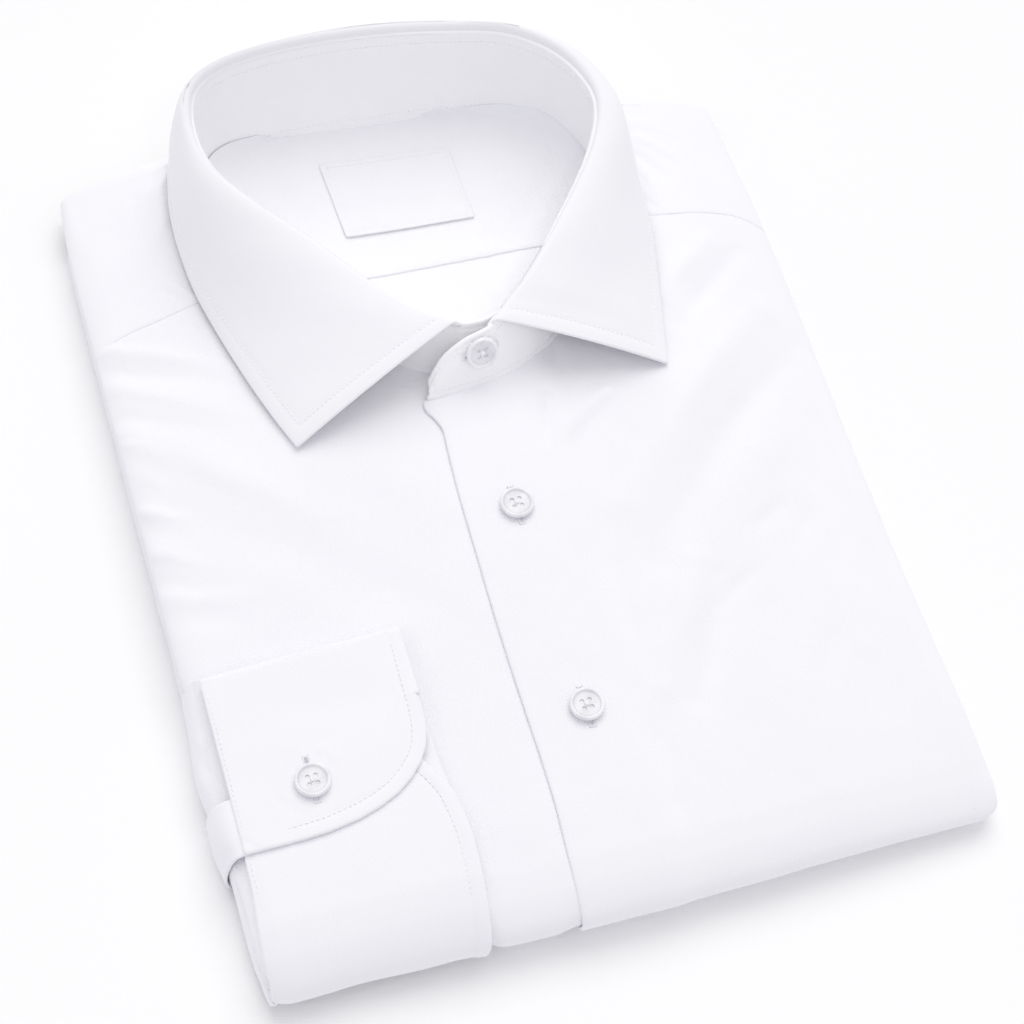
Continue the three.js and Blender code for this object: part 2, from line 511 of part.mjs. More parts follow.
// collar stand: a band on the neckline, its tab lying over the hidden end
const STAND_WALL = 1.4;
function standPoint(r, up) {
  const s = standAt(r);
  const z0 = topHeight(s.bx, s.by) + (r < 3.5 ? 2.2 - 0.35 * r : 0.6);
  const bow = Math.sin(Math.PI * clamp(up, 0, 1)) * 0.9;
  const e = 0.06, a = standAt(Math.max(0, r - e)), b = standAt(Math.min(STAND.length - 1, r + e));
  const dx = b.bx - a.bx, dy = b.by - a.by, l = Math.hypot(dx, dy) || 1;
  const top = s.tz - 1.15 * smooth(3, 4, r);
  return [lerp(s.bx, s.tx, up) + dy / l * bow, lerp(s.by, s.ty, up) - dx / l * bow, lerp(z0, top, up)];
}
function normalOf(f, u, v, du, dv) {
  const a = f(u - du, v), b = f(u + du, v), c = f(u, v - dv), d = f(u, v + dv);
  const p = [b[0] - a[0], b[1] - a[1], b[2] - a[2]], q = [d[0] - c[0], d[1] - c[1], d[2] - c[2]];
  const n = [p[1] * q[2] - p[2] * q[1], p[2] * q[0] - p[0] * q[2], p[0] * q[1] - p[1] * q[0]];
  const l = Math.hypot(...n) || 1;
  return n.map((k) => k / l);
}
const STAND_LAST = STAND.length - 1;
{
  const rows = [0, 0.5, 1, 1.6, 2.3, 3, 4, 5, 6, 7, 8, 9, 10, 11, 12, 13, 14, 15, 16, 17, 18, 19, 20, 21, 22, 23, STAND_LAST];
  const out = [], ins = [];
  for (const r of rows) {
    const lo = [], li = [];
    for (const up of [0, 0.33, 0.67, 1]) {
      const p = standPoint(r, up);
      const n = normalOf((u, v) => standPoint(clamp(u, 0, STAND_LAST), v), r, up, 0.08, 0.02);
      lo.push(p.map((k, i) => k + n[i] * STAND_WALL / 2)); li.push(p.map((k, i) => k - n[i] * STAND_WALL / 2));
    }
    out.push(lo); ins.push(li);
  }
  add('collar_stand', wall(out, ins), collarCloth());
}

// collar fall: from the stand's top edge up over the roll and down to its edge
function fallPoint(r, w) {
  const v = (k) => atRow(FALL, k, r);
  const rx = v('rx'), ry = v('ry'), rz = v('rz'), ex = v('ex'), ey = v('ey');
  const ez = topHeight(ex, ey) + v('off') + CLOTH;
  const dx = ex - rx, dy = ey - ry, d = Math.hypot(dx, dy), ox = dx / d, oy = dy / d;
  // section in (out, z), from the seam (w = 0) over the roll to the edge (w = 1)
  const roll = 2.1;
  let o, z;
  if (w < 0.2) {
    const a = rad(lerp(-8, 90, w / 0.2));
    o = roll - roll * Math.cos(a) - 0.2; z = rz - roll + roll * Math.sin(a);
  } else {
    const t = (w - 0.2) / 0.8;
    const p0 = [roll - 0.2, rz], p3 = [d, ez];
    const drop = rz - ez;
    const p1 = [p0[0] + Math.min(4.2, 0.2 * d) + v('bow') * 0.4, rz - 0.02 * drop];
    const p2 = [lerp(p0[0], d, 0.56) + v('bow') * 0.5, lerp(rz, ez, 0.5) + v('bow') * 0.6];
    const q = 1 - t;
    o = q * q * q * p0[0] + 3 * q * q * t * p1[0] + 3 * q * t * t * p2[0] + t * t * t * p3[0];
    z = q * q * q * p0[1] + 3 * q * q * t * p1[1] + 3 * q * t * t * p2[1] + t * t * t * p3[1];
  }
  return [rx + ox * o, ry + oy * o, z];
}
{
  const rows = FALL.map((_, i) => i);
  const last = FALL.length - 1;
  const out = [], ins = [];
  for (const r of rows) {
    const lo = [], li = [];
    for (const w of [0, 0.08, 0.15, 0.22, 0.34, 0.5, 0.72, 1]) {
      const p = fallPoint(r, w);
      const n = normalOf((u, t) => fallPoint(clamp(u, 0, last), clamp(t, 0, 1)), r, w, 0.05, 0.012);
      lo.push(p); li.push([p[0] + n[0] * 1.3, p[1] + n[1] * 1.3, p[2] + n[2] * 1.3]);
    }
    out.push(lo); ins.push(li);
  }
  add('collar_fall', wall(out, ins), collarCloth());
}

// cuff, closed by its button: one band that runs from the buttonhole end up,
// round the top fold, back underneath, round the hidden fold at the bottom
// turn and up again to the button end
const frontTop = (x, row) => {
  const col = Math.abs(x) <= 112 ? { flat: 1 } : { round: Math.asin(clamp((Math.abs(x) - 112.6) / SIDE_TOP, 0, 1)) * 180 / Math.PI };
  const pt = bandPoint(col, row, -1, BUTTON_STAND);
  if (Math.abs(x) <= 112.6) {
    const tr = track(row, x);
    pt.at = [x, tr.y + BAND_HALF * tr.ny, tr.z + BAND_HALF * tr.nz];
    pt.normal = [0, tr.ny, tr.nz];
  }
  return pt;
};
const CUFF_LIFT = { low: 1.8, mid: 3.5, high: 5.25 };
{
  const C = CUFF;
  // right edge of each end, rounded at its corner
  const edgeTop = (y) => {
    const c = C.lower + C.corner;
    return y >= c ? C.right + 0.8 * smooth(60, 99, y) : C.right - 25 * (1 - Math.sqrt(1 - Math.pow(clamp((c - y) / C.corner, 0, 0.9999), 2)));
  };
  const edgeLow = (y) => (y > 33 ? -48.6 - 10 * Math.pow(clamp((y - 33) / 21, 0, 1), 2) : -48.6 - 0.4 * smooth(33, 0, y));
  const path = [];
  for (const y of [C.lower, 38.4, 42, 48, 57, 68, 82, 95]) path.push({ row: { top: y }, lift: CUFF_LIFT.high, right: edgeTop(y) });
  for (const a of [30, 60, 90, 120, 150]) {
    const m = (CUFF_LIFT.high + CUFF_LIFT.low) / 2, r = (CUFF_LIFT.high - CUFF_LIFT.low) / 2;
    path.push({ row: { top: 95.6 + r * Math.sin(rad(a)) * 1.1 }, lift: m + r * Math.cos(rad(a)), right: C.right + 0.8, turn: [Math.sin(rad(a)), Math.cos(rad(a))] });
  }
  for (const y of [95, 88, 62, 40, 20]) path.push({ row: { top: y }, lift: CUFF_LIFT.low, right: -50.2, down: true });
  for (const a of [20, 45, 70, 95, 118]) path.push({ row: { turn: a }, lift: CUFF_LIFT.low, right: -50.2, down: true });
  for (const a of [122]) path.push({ row: { turn: a }, lift: (CUFF_LIFT.mid + CUFF_LIFT.low) / 2, right: -49.8, tip: true });
  for (const a of [118, 95, 70, 45, 20]) path.push({ row: { turn: a }, lift: CUFF_LIFT.mid, right: -49.6 });
  for (const y of [20, 33, 40, 45, 50, C.under]) path.push({ row: { top: y }, lift: CUFF_LIFT.mid, right: edgeLow(y) });
  const out = [], ins = [];
  for (const st of path) {
    const lo = [], li = [];
    for (const f of [-2, -1, 0, 0.2, 0.42, 0.64, 0.83, 1]) {
      const x = f < 0 ? lerp(-112.6, C.left + 0.28 * st.lift, -f / 2) : lerp(-112.6, st.right, f);
      const pt = frontTop(x, st.row);
      const half = C.wall / 2;
      // middle surface, then half the wall to each side of the path's own normal
      let dir;
      if (st.turn) dir = [0, st.turn[0], st.turn[1]];
      else if (st.down) dir = pt.normal.map((k) => -k);
      else if (st.tip) { const a = rad(st.row.turn); dir = [0, -Math.cos(a), -Math.sin(a)]; }
      else dir = pt.normal;
      const m = lifted(pt, st.lift - half);
      lo.push(press([0, 1, 2].map((i) => m[i] + dir[i] * half)));
      li.push(press([0, 1, 2].map((i) => m[i] - dir[i] * half)));
    }
    out.push(lo); ins.push(li);
  }
  add('cuff_right', wall(out, ins), collarCloth());
}

// sleeve: comes from under the body, round the side fold, to the cuff seam
const SLEEVE = [
  { x: -119.0, z: 27.0 }, { x: -121.8, z: 25.0 }, { x: -124.2, z: 19.6 }, { x: -125.0, z: 12.6 }, { x: -124.6, z: 6.0 }, { x: -122.6, z: 1.9 },
];
function sleeveSection(lift, yAt) {
  const out = [], ins = [];
  for (const [y, low, pinch] of yAt) {
    const c = y < TURN_Y ? Math.sqrt(Math.max(0.02, 1 - Math.pow((TURN_Y - y) / 12.6, 2))) : 1;
    const lo = [], li = [];
    const raw = SLEEVE.map((s, i) => {
      const drop = i === 0 ? low : i === 1 ? low * 0.55 : 0;
      const x = s.x + pinch * (i > 0 && i < 5 ? 0.9 : 0);
      return [x, STACK_MID + 0.4 + (s.z - drop - STACK_MID - 0.4) * c];
    });
    for (let i = 0; i < raw.length; i++) {
      const a = raw[Math.max(0, i - 1)], b = raw[Math.min(raw.length - 1, i + 1)];
      let nx = -(a[1] - b[1]), nz = a[0] - b[0];
      const l = Math.hypot(nx, nz); nx /= l; nz /= l;
      // normal turned outwards, to -x
      lo.push(press([raw[i][0] + nx * lift, y, raw[i][1] + nz * lift]));
      li.push(press([raw[i][0] + nx * (lift - 1.2), y, raw[i][1] + nz * (lift - 1.2)]));
    }
    out.push(lo); ins.push(li);
  }
  return wall(out, ins);
}
add('sleeve_right', sleeveSection(0, [
  [98.2, 1.9, 1.0], [96.6, 0.7, 0.5], [90, 0, 0], [75, 0, 0], [60, 0, 0], [48, 0, 0.1], [38, 0.6, 0.2], [34, 1.6, 0.3], [22, 1.8, 0.4], [10, 1.8, 0.6],
  [5, 1.8, 0.9], [1, 1.6, 1.4], [-2.4, 1.4, 2.2],
]), cloth());
add('sleeve_placket', sleeveSection(1.6, [
  [56.5, 0, 0], [50, 0, 0], [44, 0, 0], [38.4, 0.1, 0.2],
]), cloth());

// buttons: a dished disc with a rounded rim and four holes
function buttonSolid() {
  const { radius: R, thick: T, rim, dish, hole, pitch } = BUTTON;
  const profile = [[0, 0], [R - 1.3, 0], [R - 0.35, 0.55], [R, 1.25], [R - 0.3, T - 0.3], [R - 0.75, T], [R - rim - 0.35, T - 0.25], [R - rim - 1.1, T - dish], [0, T - dish]];
  const g = new THREE.LatheGeometry(profile.map(([r, z]) => new THREE.Vector2(r, z)), 20);
  g.rotateX(Math.PI / 2);
  const solid = toSolid(g);
  let body = solid;
  for (const [sx, sy] of [[1, 1], [1, -1], [-1, 1], [-1, -1]]) {
    const h = new THREE.CylinderGeometry(hole, hole, T * 3, 8);
    h.rotateX(Math.PI / 2);
    h.translate(sx * pitch, sy * pitch, 0);
    body = body.subtract(toSolid(h));
  }
  const m = body.getMesh();
  const out = new THREE.BufferGeometry();
  const p = [];
  for (let i = 0; i < m.numVert; i++) p.push(m.vertProperties[i * m.numProp], m.vertProperties[i * m.numProp + 1], m.vertProperties[i * m.numProp + 2]);
  out.setAttribute('position', new THREE.Float32BufferAttribute(p, 3));
  out.setIndex(Array.from(m.triVerts));
  return out;
}
function toSolid(geometry) {
  const g = geometry.clone();
  g.deleteAttribute('normal'); g.deleteAttribute('uv');
  const m = mergeVertices(g, 1e-4);
  const vertProperties = new Float32Array(m.attributes.position.array);
  const triVerts = new Uint32Array(m.index.array);
  let six = 0;
  for (let i = 0; i < triVerts.length; i += 3) {
    const v = [0, 1, 2].map((k) => [0, 1, 2].map((c) => vertProperties[3 * triVerts[i + k] + c]));
    six += v[0][0] * (v[1][1] * v[2][2] - v[1][2] * v[2][1]) - v[0][1] * (v[1][0] * v[2][2] - v[1][2] * v[2][0]) + v[0][2] * (v[1][0] * v[2][1] - v[1][1] * v[2][0]);
  }
  if (six < 0) for (let i = 0; i < triVerts.length; i += 3) [triVerts[i + 1], triVerts[i + 2]] = [triVerts[i + 2], triVerts[i + 1]];
  return new wasm.Manifold(new wasm.Mesh({ numProp: 3, vertProperties, triVerts }));
}
const disc = buttonSolid();
function placeButton(node, at, normal, spin) {
  const mesh = add(node, disc.clone(), pearl());
  mesh.position.set(...at);
  const q = new THREE.Quaternion().setFromUnitVectors(new THREE.Vector3(0, 0, 1), new THREE.Vector3(...normal).normalize());
  mesh.quaternion.copy(q.multiply(new THREE.Quaternion().setFromAxisAngle(new THREE.Vector3(0, 0, 1), spin)));
}
for (const b of BUTTONS) {
  const z = (x, y) => (STACK + PLACKET_LIFT) * topHeight(x, y) / STACK;
  placeButton(b.node, [b.x, b.y, z(b.x, b.y) + 0.6], [z(b.x - 2, b.y) - z(b.x + 2, b.y), z(b.x, b.y - 2) - z(b.x, b.y + 2), 4], 0.05);
}
{
  const z = (x, y) => (STACK + CUFF_LIFT.high) * topHeight(x, y) / STACK;
  const { x, y } = CUFF_BUTTON;
  placeButton('button_cuff', [x, y, z(x, y) + 0.6], [z(x - 2, y) - z(x + 2, y), z(x, y - 2) - z(x, y + 2), 4], 0.02);
}
{
  const r = COLLAR_BUTTON.along * STAND_LAST, up = COLLAR_BUTTON.up;
  const p = standPoint(r, up);
  const n = normalOf(standPoint, r, up, 0.1, 0.05);
  placeButton('button_collar', p.map((k, i) => k + n[i] * (STAND_WALL / 2 + GAP)), n, 0.1);
}

const part = new THREE.Group();
part.add(shirt);
export default part;
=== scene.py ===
# Folded dress shirt: looks.  Lengths below are millimetres in the shirt's own
# drawing frame (+X wearer's left, +Y to the collar, z = 0 the table); SHIFT and
# the factor 1/1000 take them to the row frame.
import bpy, math
import numpy as np
from mathutils import Matrix, Vector


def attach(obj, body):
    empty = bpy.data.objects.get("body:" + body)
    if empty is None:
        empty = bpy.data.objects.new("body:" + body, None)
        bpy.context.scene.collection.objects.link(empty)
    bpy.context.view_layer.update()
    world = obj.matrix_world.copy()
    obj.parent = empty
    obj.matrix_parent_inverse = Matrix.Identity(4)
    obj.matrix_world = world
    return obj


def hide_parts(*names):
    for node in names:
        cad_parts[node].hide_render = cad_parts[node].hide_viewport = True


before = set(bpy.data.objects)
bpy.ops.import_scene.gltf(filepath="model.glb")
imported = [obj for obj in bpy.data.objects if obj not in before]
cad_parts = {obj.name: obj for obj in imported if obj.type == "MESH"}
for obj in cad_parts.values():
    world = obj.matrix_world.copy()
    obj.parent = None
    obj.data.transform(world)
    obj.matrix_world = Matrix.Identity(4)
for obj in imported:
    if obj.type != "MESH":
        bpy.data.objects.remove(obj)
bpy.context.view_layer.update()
FINE = 1.0          # share of the full mesh resolution

# ------------------------------------------------------------------ sizes
CLOTH, BAND_HALF, BAND_MID = 1.5, 5.2, 6.4
STACK_MID = BAND_HALF + BAND_MID
STACK = 2 * STACK_MID
SIDE_TOP, FLAP, TURN_Y, HEM_Y = 9.0, 4.0, 6.8, 283.0
PLACKET_EDGE, PLACKET_WIDTH, PLACKET_LIFT, BUTTON_STAND = -18.4, 35.0, 1.35, 13.0
CUFF = dict(left=-116.9, right=-52.4, top=100.4, lower=38.4, under=56.0, wall=1.3)
CUFF_LOW, CUFF_MID, CUFF_HIGH = 1.8, 3.5, 5.25
STAND_WALL = 1.4
SHIFT = np.array([-1.755, 151.68, 0.0])


def rows(names, *values):
    a = np.array(values, float)
    return {n: a[:, i] for i, n in enumerate(names.split())}


SIDES = rows("y left right",
    (-10, 119.6, 121.6), (5, 120.4, 121.6), (41, 121.2, 120.6), (84, 121.6, 119.8), (133, 121.7, 120.2),
    (188, 121.7, 122.0), (243, 121.7, 123.2), (281, 121.1, 123.0), (314, 118.5, 121.5))
HEIGHTS = rows("y left midLeft centre midRight right",
    (-6, 20.0, 22.0, 22.5, 20.5, 14.5), (22, 21.0, 22.5, 23.0, 21.5, 17.0), (62, 21.5, 23.2, 23.8, 22.8, 19.5),
    (130, 20.8, 23.4, 24.4, 23.6, 20.2), (190, 19.8, 24.4, 25.6, 24.6, 19.8), (240, 18.2, 26.6, 26.0, 26.6, 18.0),
    (275, 15.6, 27.2, 27.7, 26.6, 15.0), (299, 12.6, 26.5, 30.0, 25.9, 12.0), (314, 11.0, 21.0, 26.0, 20.0, 10.5))
ACROSS = np.array([-121.0, -66, 0, 66, 121])
STAND = rows("bx by tx ty tz",
    (-18.6, 182.4, -17.6, 186.4, 31.5), (-13.5, 182.9, -13.2, 188.9, 39.2), (-6.0, 183.8, -5.2, 191.0, 44.2),
    (2.5, 185.0, 3.4, 192.9, 46.0), (12.0, 187.6, 10.4, 197.0, 47.6), (24.0, 193.6, 19.6, 205.2, 51.0),
    (42.0, 209.0, 35.4, 221.5, 56.6), (58.0, 233.0, 53.0, 243.8, 60.6), (65.6, 256.0, 61.6, 262.0, 62.6),
    (64.4, 274.0, 60.9, 275.6, 63.6), (56.0, 289.0, 53.0, 288.6, 65.3), (41.0, 295.8, 38.0, 298.2, 67.2),
    (18.0, 298.2, 15.0, 302.4, 68.6), (-10.0, 298.6, -10.0, 305.3, 68.8), (-38.0, 299.6, -38.0, 305.8, 68.1),
    (-58.0, 298.4, -60.0, 303.4, 65.9), (-68.6, 291.6, -71.6, 296.6, 63.9), (-72.0, 279.0, -75.2, 283.6, 61.6),
    (-70.4, 261.0, -72.6, 267.0, 59.6), (-60.4, 241.4, -62.4, 252.4, 57.0), (-42.6, 218.4, -46.0, 234.6, 53.6),
    (-25.0, 200.4, -27.4, 211.6, 49.6), (-10.0, 191.2, -10.0, 199.4, 45.4), (2.0, 190.4, 1.6, 197.6, 44.2),
    (12.0, 192.6, 9.6, 199.8, 44.0))
FALL = rows("rx ry rz ex ey off bow",
    (5.2, 194.4, 49.0, 65.2, 178.2, 1.2, 2.5), (11.6, 199.6, 50.6, 67.2, 187.0, 1.2, 3.5),
    (20.4, 206.6, 53.8, 69.4, 196.0, 1.2, 4.5), (36.0, 222.6, 59.2, 73.6, 213.6, 1.4, 6.0),
    (53.6, 244.6, 63.2, 78.2, 235.6, 1.8, 6.0), (62.2, 262.4, 65.4, 79.0, 256.6, 2.6, 4.6),
    (61.6, 275.9, 66.4, 78.6, 277.0, 3.6, 3.6), (53.8, 289.0, 68.2, 70.4, 294.6, 4.6, 3.0),
    (38.6, 298.6, 70.2, 52.0, 304.4, 5.6, 2.4), (15.4, 302.9, 71.6, 20.0, 309.6, 5.6, 2.0),
    (-10.0, 305.8, 72.0, -10.0, 311.4, 5.6, 2.0), (-38.0, 306.2, 71.3, -42.0, 311.6, 5.2, 2.0),
    (-60.2, 303.8, 69.2, -66.6, 309.0, 4.6, 2.4), (-72.0, 297.0, 67.2, -79.4, 299.0, 3.8, 3.0),
    (-75.6, 283.6, 64.6, -84.6, 283.0, 3.0, 3.4), (-73.0, 267.4, 62.6, -86.2, 264.0, 2.2, 4.4),
    (-63.0, 253.0, 59.8, -85.0, 243.0, 1.8, 6.0), (-46.6, 235.2, 56.4, -81.4, 224.6, 1.4, 6.0),
    (-28.2, 212.4, 52.4, -76.4, 205.4, 1.2, 4.5), (-16.6, 202.6, 50.0, -71.4, 189.0, 1.2, 3.5),
    (-6.2, 197.0, 48.6, -66.2, 174.4, 1.2, 2.5))
YOKE_SEAM = rows("x y",
    (-123, 228.6), (-119.6, 230.8), (-112, 234.2), (-98, 236.9), (-84, 239.6), (-60, 243.0), (60, 242.0), (80, 241.0),
    (97, 241.0), (111, 238.6), (119, 234.0), (124, 231.0))
PLACKET_LEFT = rows("x y",
    (-21.8, -6), (-21.4, 15), (-20.5, 32), (-20.2, 49), (-20.3, 64), (-20.2, 84), (-19.8, 104), (-19.1, 125), (-18.4, 146),
    (-17.4, 162), (-17.0, 166), (-16.9, 170.0), (-18.3, 174.5), (-20.2, 178), (-20.4, 181.0), (-19.6, 183))
PLACKET_RIGHT = rows("x y",
    (9.9, -6), (10.2, 8), (12.1, 28), (14.2, 48), (15.7, 66), (17.2, 84), (17.8, 102), (18.5, 122), (19.4, 141), (21.0, 161),
    (22.0, 180))
TOP_EDGE = rows("x y",
    (-121, 303.0), (-108, 305.6), (-77, 308.6), (-40, 310.4), (0, 310.4), (44, 307.6), (88, 301.6), (110, 297.6), (123, 294.0))
NECK_FLOOR = rows("y z",
    (180, 18.6), (215, 19.4), (239, 21.0), (262, 23.4), (285, 26.6), (300, 29.3))
LABEL = dict(width=46.2, height=29.2, corners=((-29.56, 285.0), (16.83, 283.55), (18.51, 254.51), (-27.39, 255.54)))


# ------------------------------------------------------------- arithmetic
def smooth(a, b, v):
    t = np.clip((np.asarray(v, float) - a) / (b - a), 0, 1)
    return t * t * (3 - 2 * t)


def lerp(a, b, t):
    return a + (b - a) * t


def through(xs, ys, x):
    """Smooth curve through (xs, ys), as the part's own; ys may hold one column per point of x."""
    xs = np.asarray(xs, float)
    x = np.asarray(x, float)
    n = len(xs)
    xc = np.clip(x, xs[0], xs[-1])
    i = np.clip(np.searchsorted(xs, xc, side="left") - 1, 0, n - 2)
    ys = np.asarray(ys, float)
    get = (lambda k: ys[k]) if ys.ndim == 1 else (lambda k: np.take_along_axis(ys, k[None, ...], 0)[0])
    h = xs[i + 1] - xs[i]
    t = (xc - xs[i]) / h
    y0, y1 = get(i), get(i + 1)
    ym, yp = get(np.maximum(i - 1, 0)), get(np.minimum(i + 2, n - 1))
    m0 = np.where(i == 0, (y1 - y0) / h, (y1 - ym) / (xs[i + 1] - xs[np.maximum(i - 1, 0)]))
    m1 = np.where(i == n - 2, (y1 - y0) / h, (yp - y0) / (xs[np.minimum(i + 2, n - 1)] - xs[i]))
    t2, t3 = t * t, t * t * t
    return (2 * t3 - 3 * t2 + 1) * y0 + (t3 - 2 * t2 + t) * h * m0 + (3 * t2 - 2 * t3) * y1 + (t3 - t2) * h * m1


def at_row(tab, key, r):
    ys = tab[key]
    return through(np.arange(len(ys)), ys, r)


def top_height(x, y):
    x, y = np.broadcast_arrays(np.asarray(x, float), np.asarray(y, float))
    ys = np.stack([through(HEIGHTS["y"], HEIGHTS[k], y) for k in ("left", "midLeft", "centre", "midRight", "right")])
    return through(ACROSS, ys, x)


def droop(x, y):
    """The folds' upper half slopes off before the bottom turn."""
    t = turn_y(x)
    return 1 - 0.12 * smooth(t + 26, t - 2, y) - 0.22 * smooth(t + 8, t - 10, y)


def press(p):
    p = np.array(p, float)
    x, y, z = p[..., 0], p[..., 1], p[..., 2]
    z = z - (z - 11.2) * smooth(11.2, 15.0, z) * (1 - droop(x, y))
    p[..., 2] = z * top_height(x, y) / STACK
    return p


def side_x(side, y):
    return through(SIDES["y"], SIDES["right" if side > 0 else "left"], y)


def seam_y(x):
    return through(YOKE_SEAM["x"], YOKE_SEAM["y"], x)


def edge_y(x):
    return through(TOP_EDGE["x"], TOP_EDGE["y"], x)


def placket_x(y):
    return through(PLACKET_LEFT["y"], PLACKET_LEFT["x"], y)


def placket_k(y):
    return through(PLACKET_RIGHT["y"], PLACKET_RIGHT["x"], y)


def turn_y(x):
    return TURN_Y + 3.2 * smooth(0, 118, x) + 2.2 * smooth(-40, -62, x)


def unit(v):
    return v / np.maximum(np.linalg.norm(v, axis=-1, keepdims=True), 1e-9)


def grid_normals(p):
    return unit(np.cross(np.gradient(p, axis=0), np.gradient(p, axis=1)))


def along(p, axis):
    """Length travelled along one axis of a grid of points, from 0."""
    d = np.linalg.norm(np.diff(p, axis=axis), axis=-1)
    z = np.zeros_like(np.take(p[..., 0], [0], axis=axis))
    return np.concatenate([z, np.cumsum(d, axis=axis)], axis=axis)


def pick(grid, fi, fj):
    """Value of a grid at fractional places."""
    ni, nj = grid.shape[:2]
    fi = np.clip(np.asarray(fi, float), 0, ni - 1.001); fj = np.clip(np.asarray(fj, float), 0, nj - 1.001)
    i = fi.astype(int); j = fj.astype(int)
    a = (fi - i)[..., None]; b = (fj - j)[..., None]
    return (grid[i, j] * (1 - a) * (1 - b) + grid[i + 1, j] * a * (1 - b)
            + grid[i, j + 1] * (1 - a) * b + grid[i + 1, j + 1] * a * b)


def waves(u, v, seed, length, n=7, spread=0.5):
    """Soft random swell, about -1 to 1: plane waves of about the given length."""
    rng = np.random.default_rng(seed)
    out = 0
    for _ in range(n):
        a = rng.uniform(0, math.pi); k = 2 * math.pi / (length * rng.uniform(1 - spread, 1 + spread))
        out = out + np.sin(k * (u * math.cos(a) + v * math.sin(a)) + rng.uniform(0, 6.28))
    return out / math.sqrt(n) * 0.8


def creases(x, y, table):
    """Sum of listed creases: each a curved ridge (height > 0) or trough, its height at
    the start, middle and end, and its width on each side."""
    x, y = np.broadcast_arrays(np.asarray(x, float), np.asarray(y, float))
    out = np.zeros(x.shape)
    for (x0, y0, x1, y1, x2, y2, h0, h1, h2, wl, wr) in table:
        t = np.linspace(0, 1, 15)
        cx = 2 * x1 - (x0 + x2) / 2; cy = 2 * y1 - (y0 + y2) / 2
        px = (1 - t) ** 2 * x0 + 2 * t * (1 - t) * cx + t * t * x2
        py = (1 - t) ** 2 * y0 + 2 * t * (1 - t) * cy + t * t * y2
        m = 2.6 * max(wl, wr)
        near = (x > px.min() - m) & (x < px.max() + m) & (y > py.min() - m) & (y < py.max() + m)
        if not near.any():
            continue
        X, Y = x[near], y[near]
        best = np.full(X.shape, 1e9); val = np.zeros(X.shape)
        for k in range(14):
            ax, ay, bx, by = px[k], py[k], px[k + 1], py[k + 1]
            dx, dy = bx - ax, by - ay; l2 = dx * dx + dy * dy
            s = ((X - ax) * dx + (Y - ay) * dy) / l2
            sc = np.clip(s, 0, 1)
            ex, ey = X - ax - sc * dx, Y - ay - sc * dy
            d2 = ex * ex + ey * ey
            side = dx * ey - dy * ex
            w = np.where(side > 0, wl, wr)
            q = (k + sc) / 14
            h = np.where(q < 0.5, h0 + (h1 - h0) * smooth(0, 0.5, q), h1 + (h2 - h1) * smooth(0.5, 1, q))
            v = h * np.exp(-d2 / (w * w))
            closer = d2 < best
            best = np.where(closer, d2, best); val = np.where(closer, v, val)
        out[near] += val
    return out


# ------------------------------------------------------------- mesh making
COL = bpy.context.scene.collection
MATS = {}


def to_row(p):
    return (np.asarray(p, float) - SHIFT) / 1000


def mesh_object(name, verts, quads, tris=None, uv=None, mat=None, smooth_shade=True):
    verts = np.asarray(verts, float)
    quads = np.zeros((0, 4), int) if quads is None or len(quads) == 0 else np.asarray(quads, int)
    tris = np.zeros((0, 3), int) if tris is None or len(tris) == 0 else np.asarray(tris, int)
    me = bpy.data.meshes.new(name)
    me.vertices.add(len(verts))
    me.vertices.foreach_set("co", to_row(verts).astype(np.float32).ravel())
    loops = np.concatenate([quads.ravel(), tris.ravel()]).astype(np.int32)
    me.loops.add(len(loops))
    me.loops.foreach_set("vertex_index", loops)
    starts = np.concatenate([np.arange(len(quads)) * 4, len(quads) * 4 + np.arange(len(tris)) * 3]).astype(np.int32)
    me.polygons.add(len(starts))
    me.polygons.foreach_set("loop_start", starts)
    me.update(calc_edges=True)
    me.polygons.foreach_set("use_smooth", np.full(len(starts), smooth_shade))
    if uv is not None:
        layer = me.uv_layers.new(name="cloth")
        layer.data.foreach_set("uv", np.asarray(uv, np.float32)[loops].ravel())
    me.validate()
    me.update()
    o = bpy.data.objects.new(name, me)
    COL.objects.link(o)
    if mat is not None:
        me.materials.append(mat)
    return o


def rim_of(ni, nj):
    """Boundary of a grid in order, with each place's step inwards."""
    i = [0] * (nj - 1) + list(range(ni - 1)) + [ni - 1] * (nj - 1) + list(range(ni - 1, 0, -1))
    j = list(range(nj - 1)) + [nj - 1] * (ni - 1) + list(range(nj - 1, 0, -1)) + [0] * (ni - 1)
    return np.array(i), np.array(j)


class Parts:
    """Gathers several bodies into one mesh."""
    def __init__(self):
        self.v, self.q, self.t, self.uv, self.n = [], [], [], [], 0

    def add(self, v, q=None, t=None, uv=None):
        v = np.asarray(v, float).reshape(-1, 3)
        if q is not None and len(q): self.q.append(np.asarray(q) + self.n)
        if t is not None and len(t): self.t.append(np.asarray(t) + self.n)
        self.uv.append(np.zeros((len(v), 2)) if uv is None else np.asarray(uv, float).reshape(-1, 2))
        self.v.append(v); self.n += len(v)

    def make(self, name, mat, smooth_shade=True):
        return mesh_object(name, np.concatenate(self.v), np.concatenate(self.q) if self.q else None,
                           np.concatenate(self.t) if self.t else None, np.concatenate(self.uv), mat, smooth_shade)


def guided(n, guide):
    """Grid normals, with the guide's where a slanting cell misleads them."""
    return np.where(np.sum(n * guide, -1, keepdims=True) < 0.6, guide, n)


